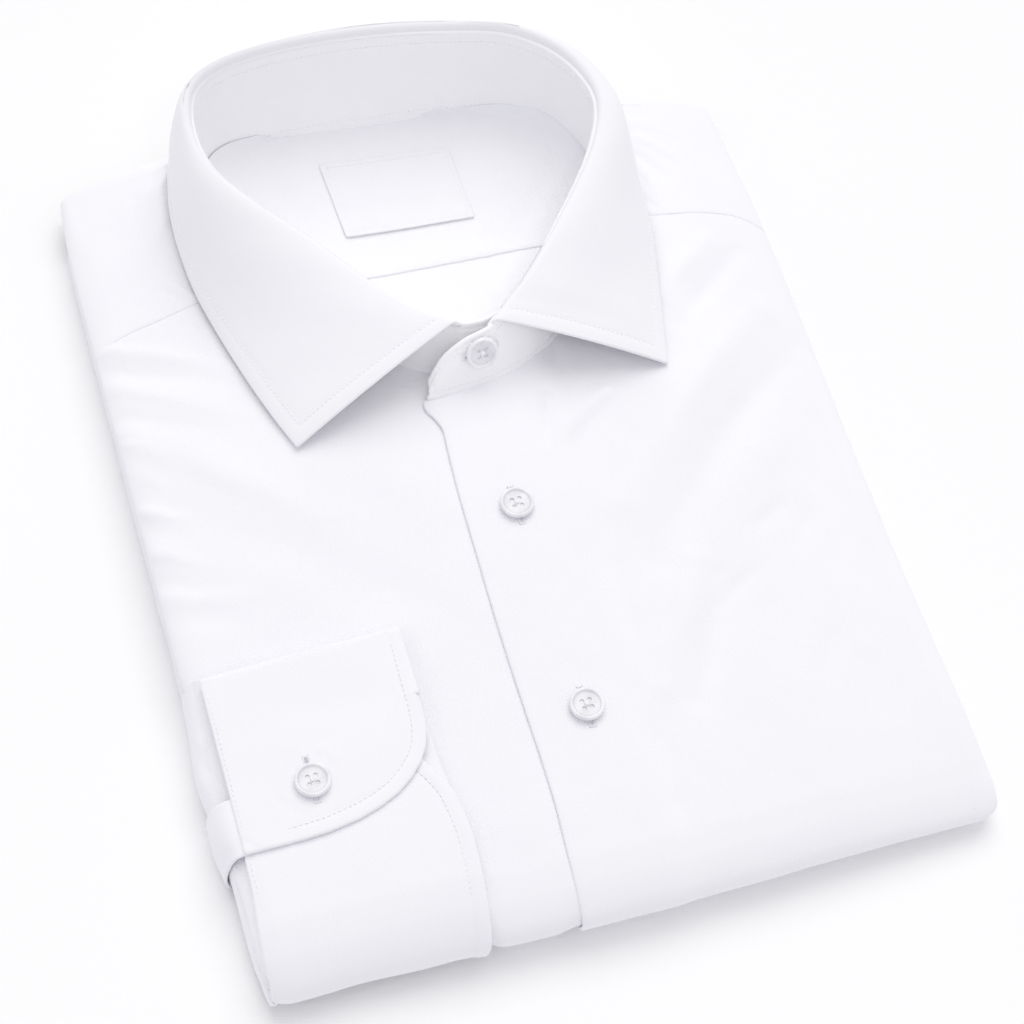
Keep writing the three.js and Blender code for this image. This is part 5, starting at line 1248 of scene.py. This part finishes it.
# ----------------------------------------------------- hidden folded layers
def folded_layers():
    """The layers inside the two bands: thin sheets with round folds at the sides, their
    hems a little apart at the open end."""
    P = Parts()
    # (raw height, inset of its side folds, far end, near end, thickness)
    layers = [(3.4, 12.5, 287.5, 4, 1.5), (5.4, 9.5, 290.0, 2, 1.6), (7.4, 11.0, 288.5, 4, 1.5),
              (10.2, 10.5, 291.0, 6, 1.2), (11.7, 8.0, 292.0, 8, 1.6), (13.2, 11.0, 290.2, 6, 1.2),
              (15.8, 12.0, 291.5, 4, 1.5), (17.7, 9.0, 290.8, 2, 1.7), (19.4, 12.0, 288.8, 4, 1.3)]
    ny, nx = int(70 * FINE), int(60 * FINE)
    for k, (zr, ins, y1, y0, th) in enumerate(layers):
        y = np.linspace(y0, y1, ny)[:, None]
        s = np.linspace(-1, 1, nx)[None, :]
        s = np.sign(s) * (1 - (1 - np.abs(s)) ** 1.4)
        half = np.where(s < 0, side_x(-1, y), side_x(1, y)) - ins + waves(y, 0 * s, 90 + k, 40) * 0.8
        x = s * half
        yy = y + (waves(x, 0 * x, 100 + k, 60) * 0.9) * smooth(y1 - 30, y1, y)
        z = np.full(x.shape, zr)
        z = z + 0.2 * waves(x, yy, 110 + k, 40) * np.where((zr > 4) & (zr < 19), 1, 0.3)
        # the under side is flat; the top dips under the neck opening
        dx, dy = (x + 3) / 74, (yy - 243) / 66
        inside = 1 - smooth(1.0, 1.2, np.hypot(dx, dy))
        p = press(np.stack([x, yy, z], -1))
        top = floor_z(x, yy) - 1.8 - (19.7 - zr) * 0.95
        p[..., 2] = np.minimum(p[..., 2], lerp(p[..., 2], np.minimum(p[..., 2], top), inside))
        p[..., 2] = np.maximum(p[..., 2], 2.2)
        sign = 1 if np.sum(grid_normals(p)[..., 2]) > 0 else -1
        shell(P, p, th, np.stack([x, yy], -1), sign, steps=4)
    o = P.make("Folded_layers", M_INSIDE_SHADED)
    return done(o, "folded_layers")


LAYERS = folded_layers()


# ------------------------------------------------------------------- label
def label():
    P = Parts()
    m, k = int(40 * FINE), int(56 * FINE)
    v, u = np.meshgrid(np.linspace(-0.5, 0.5, m), np.linspace(-0.5, 0.5, k), indexing="ij")
    lx, ly = u * LABEL["width"], v * LABEL["height"]
    a, b = u + 0.5, v + 0.5
    tl, tr, br, bl = [np.array(p) for p in LABEL["corners"]]
    pos = (tl * ((1 - a) * b)[..., None] + tr * (a * b)[..., None] + br * (a * (1 - b))[..., None] + bl * ((1 - a) * (1 - b))[..., None])
    x, y = pos[..., 0], pos[..., 1]
    z = floor_z(x, y) + 0.45 + waves(x, y, 41, 42) * 0.35 + waves(x, y, 42, 15) * 0.08 + 0.95
    e = np.minimum(LABEL["width"] / 2 - np.abs(lx), LABEL["height"] / 2 - np.abs(ly))
    z = z - 0.22 * np.exp(-((e - 1.3) / 0.45) ** 2) + 0.25 * np.exp(-((LABEL["height"] / 2 + ly) / 5.0) ** 2)
    mid = np.stack([x, y, z], -1)
    sign = 1 if np.sum(grid_normals(mid)[..., 2]) > 0 else -1
    outer, n = shell(P, mid, 0.75, np.stack([lx, ly], -1), sign)
    o = P.make("Label", M_LABEL)
    done(o, "label", slot="label")
    return dict(o=o, outer=outer, n=n)


LABELM = label()


# --------------------------------------------------------------- stitching
def stitch_piece(name, runs, slot, **kw):
    P = Parts()
    for k, (p, n) in enumerate(runs):
        stitches(P, p, n, seed=200 + k, **kw)
    o = P.make(name, M_THREAD)
    done(o, slot=slot)
    return o


def grid_line(m, fi, fj, rise=0.0):
    return pick(m["outer"], fi, fj) + pick(m["n"], fi, fj) * rise, pick(m["n"], fi, fj)


def leaf_line(inset):
    """Round the leaf: down one front edge, along its outer edge, up the other."""
    u, v = FALLM["u"], FALLM["v"]
    ni, nj = u.shape
    e = v[:, -1:] - v
    fj_out = np.array([np.interp(-inset, -e[i], np.arange(nj)) for i in range(ni)])
    fi_a = np.array([np.interp(inset, u[:, j], np.arange(ni)) for j in range(nj)])
    ub = u[-1:, :] - u
    fi_b = np.array([np.interp(-inset, -ub[:, j], np.arange(ni)) for j in range(nj)])
    j0 = np.interp(0.24, FALLM["w"][0], np.arange(nj))
    ja = np.interp(fi_a[-1], np.arange(ni), fj_out); jb = np.interp(fi_b[-1], np.arange(ni), fj_out)
    jj = np.linspace(j0, ja, 60)
    pts = [(np.interp(jj, np.arange(nj), fi_a), jj)]
    ii = np.linspace(fi_a[int(round(ja))], fi_b[int(round(jb))], 500)
    pts.append((ii, np.interp(ii, np.arange(ni), fj_out)))
    jj = np.linspace(jb, j0, 60)
    pts.append((np.interp(jj, np.arange(nj), fi_b), jj))
    return [grid_line(FALLM, a, b) for a, b in pts]


stitch_piece("Collar_fall_stitches", leaf_line(5.0), "collar_cloth")


def stand_lines():
    runs = []
    v = STANDM["v"]; ni, nj = v.shape
    jj = np.arange(nj)
    ii = np.arange(ni)
    r = STANDM["r"][:, 0]
    for off, from_top, face in ((2.2, False, 1), (2.2, True, 1), (4.0, False, -1), (4.1, True, -1)):
        f = np.array([np.interp(off if not from_top else v[i, -1] - off, v[i], jj) for i in range(ni)])
        keep = (r > (0.5 if not from_top else 1.0)) & ((r < 6.0) if face > 0 else (r > 1.4))
        i = ii[keep]
        n = pick(STANDM["n"], i, f[keep])
        runs.append((pick(STANDM["outer" if face > 0 else "inner"], i, f[keep]), n * face))
    # round the tab's end
    k = np.linspace(0, 1, 40)
    i0 = np.interp(0.42, r, ii)
    v0 = np.interp(i0, ii, v[:, -1])
    f0 = np.interp(2.2, pick(v[..., None], np.full(nj, i0), jj)[:, 0], jj)
    f1 = np.interp(max(v0 - 2.0, 2.4), pick(v[..., None], np.full(nj, i0), jj)[:, 0], jj)
    p = grid_line(STANDM, np.full(20, i0), np.linspace(f0, f1, 20))
    runs.append(p)
    ja = np.array([np.interp(v[int(i), -1] - 2.2, v[int(i)], jj) for i in np.linspace(i0, np.interp(1.0, r, ii), 20)])
    runs.append(grid_line(STANDM, np.linspace(i0, np.interp(1.0, r, ii), 20), np.linspace(f1, ja[-1], 20)))
    return runs


stitch_piece("Collar_stand_stitches", stand_lines(), "collar_cloth")


def cuff_outline(d):
    """The cuff's upper end, inset by d: down its right side and along its end, as points in plan."""
    y = np.linspace(95.0, 38.9, 300)
    x = cuff_edge_top(y)
    x = np.concatenate([x, [-95.0, -99.6, -103.0]]); y = np.concatenate([y, [38.6, 38.4, 38.35]])
    p = np.stack([x, y, 0 * x], -1)
    p, = resample(p, 0.5)
    t = unit(np.gradient(p, axis=0))
    n = np.stack([t[:, 1], -t[:, 0], 0 * t[:, 0]], -1)
    q = p + n * d
    keep = np.ones(len(q), bool)
    return q[:, 0], q[:, 1]


cx, cy = cuff_outline(4.0)
yy = np.linspace(9, 52, 60)
low_x = cuff_edge_low(yy) - 4.0
runs = [cuff_skin(cx, cy)]
o_, n_ = cuff_skin(low_x, yy, False)
runs.append((o_, n_))
yl = np.linspace(92, 44, 60)
runs.append(cuff_skin(np.full(60, -114.9), yl))
yl = np.linspace(36, 9, 40)
runs.append(cuff_skin(np.full(40, -115.2), yl, False))
stitch_piece("Cuff_stitches", runs, "collar_cloth")


def label_stitches():
    m, k = LABELM["outer"].shape[:2]
    w, h = LABEL["width"], LABEL["height"]
    runs = []
    for side in (0, 1):
        fj = 1.3 / w * (k - 1); fj = k - 1 - fj if side else fj
        runs.append(grid_line(LABELM, np.linspace(1.3 / h * (m - 1), (1 - 1.3 / h) * (m - 1), 40), np.full(40, fj)))
        fi = 1.3 / h * (m - 1); fi = m - 1 - fi if side else fi
        runs.append(grid_line(LABELM, np.full(60, fi), np.linspace(1.3 / w * (k - 1), (1 - 1.3 / w) * (k - 1), 60)))
    return runs


stitch_piece("Label_stitches", label_stitches(), "label", radius=0.12, pitch=1.5, length=1.05, rise=0.05)


# ------------------------------------------------- buttons and buttonholes
def button_frame(at, normal, spin):
    z = unit(np.asarray(normal, float))
    q = Vector((0, 0, 1)).rotation_difference(Vector(z)).to_matrix()
    m = q @ Matrix.Rotation(spin, 3, "Z")
    a = np.array(m)
    return np.asarray(at, float), a


def place(p, f):
    at, a = f
    return np.asarray(p, float) @ a.T + at


R_B, T_B = 5.7, 2.3
PROFILE = [(0.0, 0.0), (3.2, 0.0), (4.5, 0.1), (5.15, 0.38), (5.55, 0.85), (5.7, 1.3), (5.66, 1.68), (5.5, 2.02), (5.26, 2.22), (5.02, 2.26),
           (4.78, 2.2), (4.56, 2.04), (4.38, 1.84), (4.1, 1.7), (3.4, 1.6), (1.5, 1.54), (0.0, 1.53)]
HOLES = [(1.28, 1.28), (1.28, -1.28), (-1.28, 1.28), (-1.28, -1.28)]


def button_mesh():
    """A turned, dished disc with a raised rim, its four holes cut in, not through."""
    n = 72
    prof = np.array(PROFILE)
    t = np.linspace(0, 1, len(prof)); tt = np.linspace(0, 1, 46)
    r = np.interp(tt, t, prof[:, 0]); z = np.interp(tt, t, prof[:, 1])
    from_bm = bpy.data.meshes.new("button_tmp")
    v, q = [], []
    ring = []
    for k in range(1, len(r) - 1):
        ring.append(len(v))
        for i in range(n):
            a = 2 * math.pi * i / n
            v.append((r[k] * math.cos(a), r[k] * math.sin(a), z[k]))
    f = []
    for a, b in zip(ring[:-1], ring[1:]):
        for i in range(n):
            f.append((a + i, a + (i + 1) % n, b + (i + 1) % n, b + i))
    f.append(tuple(ring[0] + i for i in range(n))[::-1])
    f.append(tuple(ring[-1] + i for i in range(n)))
    from_bm.from_pydata(v, [], f)
    o = bpy.data.objects.new("button_tmp", from_bm)
    COL.objects.link(o)
    cut_v, cut_f = [], []
    for hx, hy in HOLES:
        b = len(cut_v); m = 20
        for zz, rr in ((1.06, 0.66), (1.3, 0.68), (1.53, 0.74), (1.62, 0.82), (3.5, 1.0)):
            for i in range(m):
                a = 2 * math.pi * i / m
                cut_v.append((hx + rr * math.cos(a), hy + rr * math.sin(a), zz))
        for k in range(4):
            for i in range(m):
                cut_f.append((b + k * m + i, b + k * m + (i + 1) % m, b + (k + 1) * m + (i + 1) % m, b + (k + 1) * m + i))
        cut_f.append(tuple(b + i for i in range(m))[::-1]); cut_f.append(tuple(b + 4 * m + i for i in range(m)))
    cm = bpy.data.meshes.new("cut_tmp"); cm.from_pydata(cut_v, [], cut_f)
    co = bpy.data.objects.new("cut_tmp", cm); COL.objects.link(co)
    mod = o.modifiers.new("holes", "BOOLEAN"); mod.operation = "DIFFERENCE"; mod.solver = "EXACT"; mod.object = co
    dg = bpy.context.evaluated_depsgraph_get()
    res = bpy.data.meshes.new_from_object(o.evaluated_get(dg), depsgraph=dg)
    bpy.data.objects.remove(o); bpy.data.objects.remove(co)
    return res


BTN = button_mesh()
_c = np.empty(len(BTN.polygons) * 3, np.float32); BTN.polygons.foreach_get("center", _c); _c = _c.reshape(-1, 3)
# the dished face's polygons get the darker pearl, painted shade; the rim keeps the lighter one
BTN_SHADED_FACE = ((np.hypot(_c[:, 0], _c[:, 1]) < 4.5) & (_c[:, 2] > 0.7)).astype(np.int32)


def button(name, node, at, normal, spin, thread_rise=0.35):
    f = button_frame(at, normal, spin)
    me = BTN.copy()
    me.name = name
    co = np.empty(len(me.vertices) * 3, np.float32); me.vertices.foreach_get("co", co)
    co = to_row(place(co.reshape(-1, 3), f))
    me.vertices.foreach_set("co", co.astype(np.float32).ravel())
    me.polygons.foreach_set("use_smooth", np.full(len(me.polygons), True))
    me.materials.clear(); me.materials.append(M_PEARL); me.materials.append(M_FACE_SHADED)
    me.polygons.foreach_set("material_index", BTN_SHADED_FACE)
    me.update()
    o = bpy.data.objects.new(name, me)
    COL.objects.link(o)
    o.data.set_sharp_from_angle(angle=math.radians(40))
    done(o, node, slot="button")
    # thread: two bars crossed, several strands each, and a coiled knot on top at the centre
    P = Parts()
    rng = np.random.default_rng(5)
    for (a, b) in ((0, 3), (1, 2)):
        ax, ay = [0.56 * c for c in HOLES[a]]; bx, by = [0.56 * c for c in HOLES[b]]
        for k in (-1, 0, 1):
            d = np.array([-(by - ay), bx - ax]); d = d / np.hypot(*d) * 0.17 * k
            t = np.linspace(0, 1, 15)
            x = lerp(ax, bx, t) + d[0]; y = lerp(ay, by, t) + d[1]
            hz = 1.0 + np.minimum(1, np.sin(math.pi * t) * 1.9) * (0.66 + 0.14 * (a == 1)) + 0.03 * rng.normal()
            p = np.stack([x, y, hz], -1)
            tube(P, place(p, f), (f[1] @ np.array([0, 0, 1.0])), 0.17, sides=8)
    t = np.linspace(0, 2 * math.pi * 2.6, 44)
    rr = 0.58 - 0.26 * t / t[-1]
    p = np.stack([rr * np.cos(t), rr * np.sin(t), 1.70 + 0.20 * t / t[-1]], -1)
    tube(P, place(p, f), (f[1] @ np.array([0, 0, 1.0])), 0.30, sides=8)
    th = P.make(name + "_thread", M_THREAD)
    done(th, slot="button")
    return o


def plane_z(lift):
    return lambda x, y: (STACK + lift) * top_height(x, y) / STACK


BUTTON_AT = []
for bname, node, x, y, lift, spin in (("Button_front_1", "button_front_1", -1.9, 135.8, PLACKET_LIFT, 0.05),
                                      ("Button_front_2", "button_front_2", -1.8, 60.2, PLACKET_LIFT, 0.05),
                                      ("Button_cuff", "button_cuff", -91.8, 55.0, CUFF_HIGH, 0.02)):
    z = plane_z(lift)
    n = np.array([float(z(x - 2, y) - z(x + 2, y)), float(z(x, y - 2) - z(x, y + 2)), 4.0])
    at = np.array([x, y, float(z(x, y)) + 0.46])
    button(bname, node, at, n, spin)
    BUTTON_AT.append((bname, x, y, z, unit(n)))
r_b, up_b = 2.6, 0.70
p_b = stand_point(np.array(r_b), np.array(up_b))
e = 0.08
dn = np.cross(stand_point(np.array(r_b + e), np.array(up_b)) - stand_point(np.array(r_b - e), np.array(up_b)),
              stand_point(np.array(r_b), np.array(up_b + 0.03)) - stand_point(np.array(r_b), np.array(up_b - 0.03)))
n_b = unit(dn)
button("Button_collar", "button_collar", p_b + n_b * (0.75 + 0.42), n_b, 0.1)


def buttonhole(name, centre, along_dir, normal, length, slot, open_to=(-2.0, None)):
    """A slit whipped all round with thread, a bar at each end."""
    c = np.asarray(centre, float); t = unit(np.asarray(along_dir, float)); n = unit(np.asarray(normal, float))
    b = np.cross(n, t)
    P = Parts()
    half, w = length / 2, 0.78
    a = np.linspace(-math.pi / 2, math.pi / 2, 9)
    loop = np.concatenate([
        np.stack([half - w + w * np.cos(a), w * np.sin(a)], 1),
        np.stack([-(half - w) - w * np.cos(a), -w * np.sin(a)], 1)])
    loop3 = c + loop[:, :1] * t + loop[:, 1:] * b + n * 0.22
    seg = np.concatenate([loop3, loop3[:1]])
    seg, = resample(seg, 0.35)
    seg = seg[:-1]
    k = np.arange(len(seg))
    tube(P, seg, n, 0.33 + 0.05 * (k % 2), sides=8, flat=0.5, closed_loop=True)
    for s in (-1, 1):
        p = np.stack([c + t * s * (half + 0.15) + b * q + n * 0.16 for q in np.linspace(-1.1, 1.1, 7)])
        tube(P, p, n, 0.28, sides=7, flat=0.7)
    o = P.make(name, M_HOLE)
    done(o, slot=slot)
    S = Parts()
    # the slit: a thin grey tent in the opening, painted shade
    m = 9
    q = np.linspace(open_to[0], half - 0.5 if open_to[1] is None else open_to[1], m)
    wd = np.full(m, 0.6); wd[0] = wd[-1] = 0.4
    v = np.concatenate([c + q[:, None] * t + wd[:, None] * b + n * 0.36, c + q[:, None] * t - wd[:, None] * b + n * 0.36,
                        c + q[:, None] * t + n * 0.28])
    i = np.arange(m - 1)
    qd = np.concatenate([np.stack([i, i + 2 * m, i + 2 * m + 1, i + 1], 1), np.stack([i + 2 * m, i + m, i + m + 1, i + 2 * m + 1], 1)])
    S.add(v, qd)
    s_ = S.make(name + "_slit", M_SLIT_SHADE)
    done(s_, slot=slot)


for (nm, x, y0, y1, lift, slot) in (("Buttonhole_front_1", -1.9, 128.7, 142.9, PLACKET_LIFT, "cloth"),
                                    ("Buttonhole_front_2", -1.8, 53.2, 67.2, PLACKET_LIFT, "cloth"),
                                    ("Buttonhole_cuff", -91.9, 48.2, 63.8, CUFF_HIGH, "collar_cloth")):
    z = plane_z(lift)
    yc = (y0 + y1) / 2
    nn = np.array([float(z(x - 2, yc) - z(x + 2, yc)), float(z(x, yc - 2) - z(x, yc + 2)), 4.0])
    buttonhole(nm, (x, yc, float(z(x, yc))), (0, 4.0, float(z(x, yc + 2) - z(x, yc - 2))), nn, y1 - y0, slot)
tdir = stand_point(np.array(r_b + 0.3), np.array(up_b)) - stand_point(np.array(r_b - 0.3), np.array(up_b))
buttonhole("Buttonhole_collar", p_b + n_b * 0.75, tdir, n_b, 12.6, "collar_cloth", (-2.0, 2.0))


# ----------------------------------------------------- floor, light, camera
fm = Nodes("pale_floor")
obj = fm.new("ShaderNodeTexCoord").outputs["Object"]
col = fm.ramp(fm.noise(obj, 3.0, 2.0), [(0.3, (0.985, 0.985, 0.988)), (0.7, (0.995, 0.995, 0.998))])
pb = fm.new("ShaderNodeBsdfPrincipled")
fm.link(col, pb.inputs["Base Color"])
pb.inputs["Roughness"].default_value = 0.95
pb.inputs["Specular IOR Level"].default_value = 0.0
fo = fm.new("ShaderNodeOutputMaterial")
fm.link(pb.outputs["BSDF"], fo.inputs["Surface"])
me = bpy.data.meshes.new("Floor")
S_ = 12.0
me.from_pydata([(-S_, -S_, -0.0002), (S_, -S_, -0.0002), (S_, S_, -0.0002), (-S_, S_, -0.0002)], [], [(0, 1, 2, 3)])
floor = bpy.data.objects.new("Floor", me)
COL.objects.link(floor)
me.materials.append(fm.mat)

scene = bpy.context.scene
world = bpy.data.worlds.new("Studio")
scene.world = world
world.use_nodes = True
bg = world.node_tree.nodes["Background"]
bg.inputs["Color"].default_value = (0.968, 0.966, 1.0, 1)
bg.inputs["Strength"].default_value = 0.738


def sun(name, az, el, strength, angle, color=(1, 1, 1)):
    """A broad lamp; az is where it stands, clockwise from the viewer's far side (+Y)."""
    l = bpy.data.lights.new(name, "SUN")
    l.energy = strength
    l.angle = math.radians(angle)
    l.color = color
    o = bpy.data.objects.new(name, l)
    a, e = math.radians(az), math.radians(el)
    d = Vector((math.sin(a) * math.cos(e), math.cos(a) * math.cos(e), math.sin(e)))
    o.rotation_mode = "QUATERNION"
    o.rotation_quaternion = d.to_track_quat("Z", "Y")
    COL.objects.link(o)
    return o


sun("Key", 18, 60, 1.02, 50, (1.0, 0.996, 0.945))

# a soft lamp high in front of the neck opening
sl = bpy.data.lights.new("Collar_fill", "SPOT")
sl.energy = 0.95
sl.spot_size = math.radians(26)
sl.spot_blend = 1.0
sl.shadow_soft_size = 0.06
so = bpy.data.objects.new("Collar_fill", sl)
s_at = (np.array([-30.0, 20.0, 400.0]) - SHIFT) / 1000
s_to = (np.array([-2.0, 246.0, 34.0]) - SHIFT) / 1000
so.location = s_at
so.rotation_mode = "QUATERNION"
so.rotation_quaternion = Vector(s_at - s_to).to_track_quat("Z", "Y")
COL.objects.link(so)
scene.view_settings.view_transform = "Standard"
scene.view_settings.look = "None"
scene.view_settings.exposure = 0.0
scene.view_settings.gamma = 1.0

f_px, el, az, roll, dist = 2495.0, 58.3, -26.2, 10.9, 848.0
a, e_, r_ = map(math.radians, (az, el, roll))
back = np.array([math.sin(a) * math.cos(e_), -math.cos(a) * math.cos(e_), math.sin(e_)])
right = np.cross([0, 0, 1.0], back); right /= np.linalg.norm(right)
upv = np.cross(back, right)
R2 = right * math.cos(r_) + upv * math.sin(r_)
U2 = -right * math.sin(r_) + upv * math.cos(r_)
C = (np.array([3.0, 148.0, 0.0]) + back * dist - SHIFT) / 1000
cd = bpy.data.cameras.new("Camera")
cd.sensor_fit = "HORIZONTAL"
cd.sensor_width = 36.0
cd.lens = f_px / 1024 * 36
cd.clip_start, cd.clip_end = 0.01, 100
cam = bpy.data.objects.new("Camera", cd)
COL.objects.link(cam)
cam.matrix_world = Matrix([[R2[0], U2[0], back[0], C[0]], [R2[1], U2[1], back[1], C[1]], [R2[2], U2[2], back[2], C[2]], [0, 0, 0, 1]])
scene.camera = cam

bpy.context.view_layer.update()
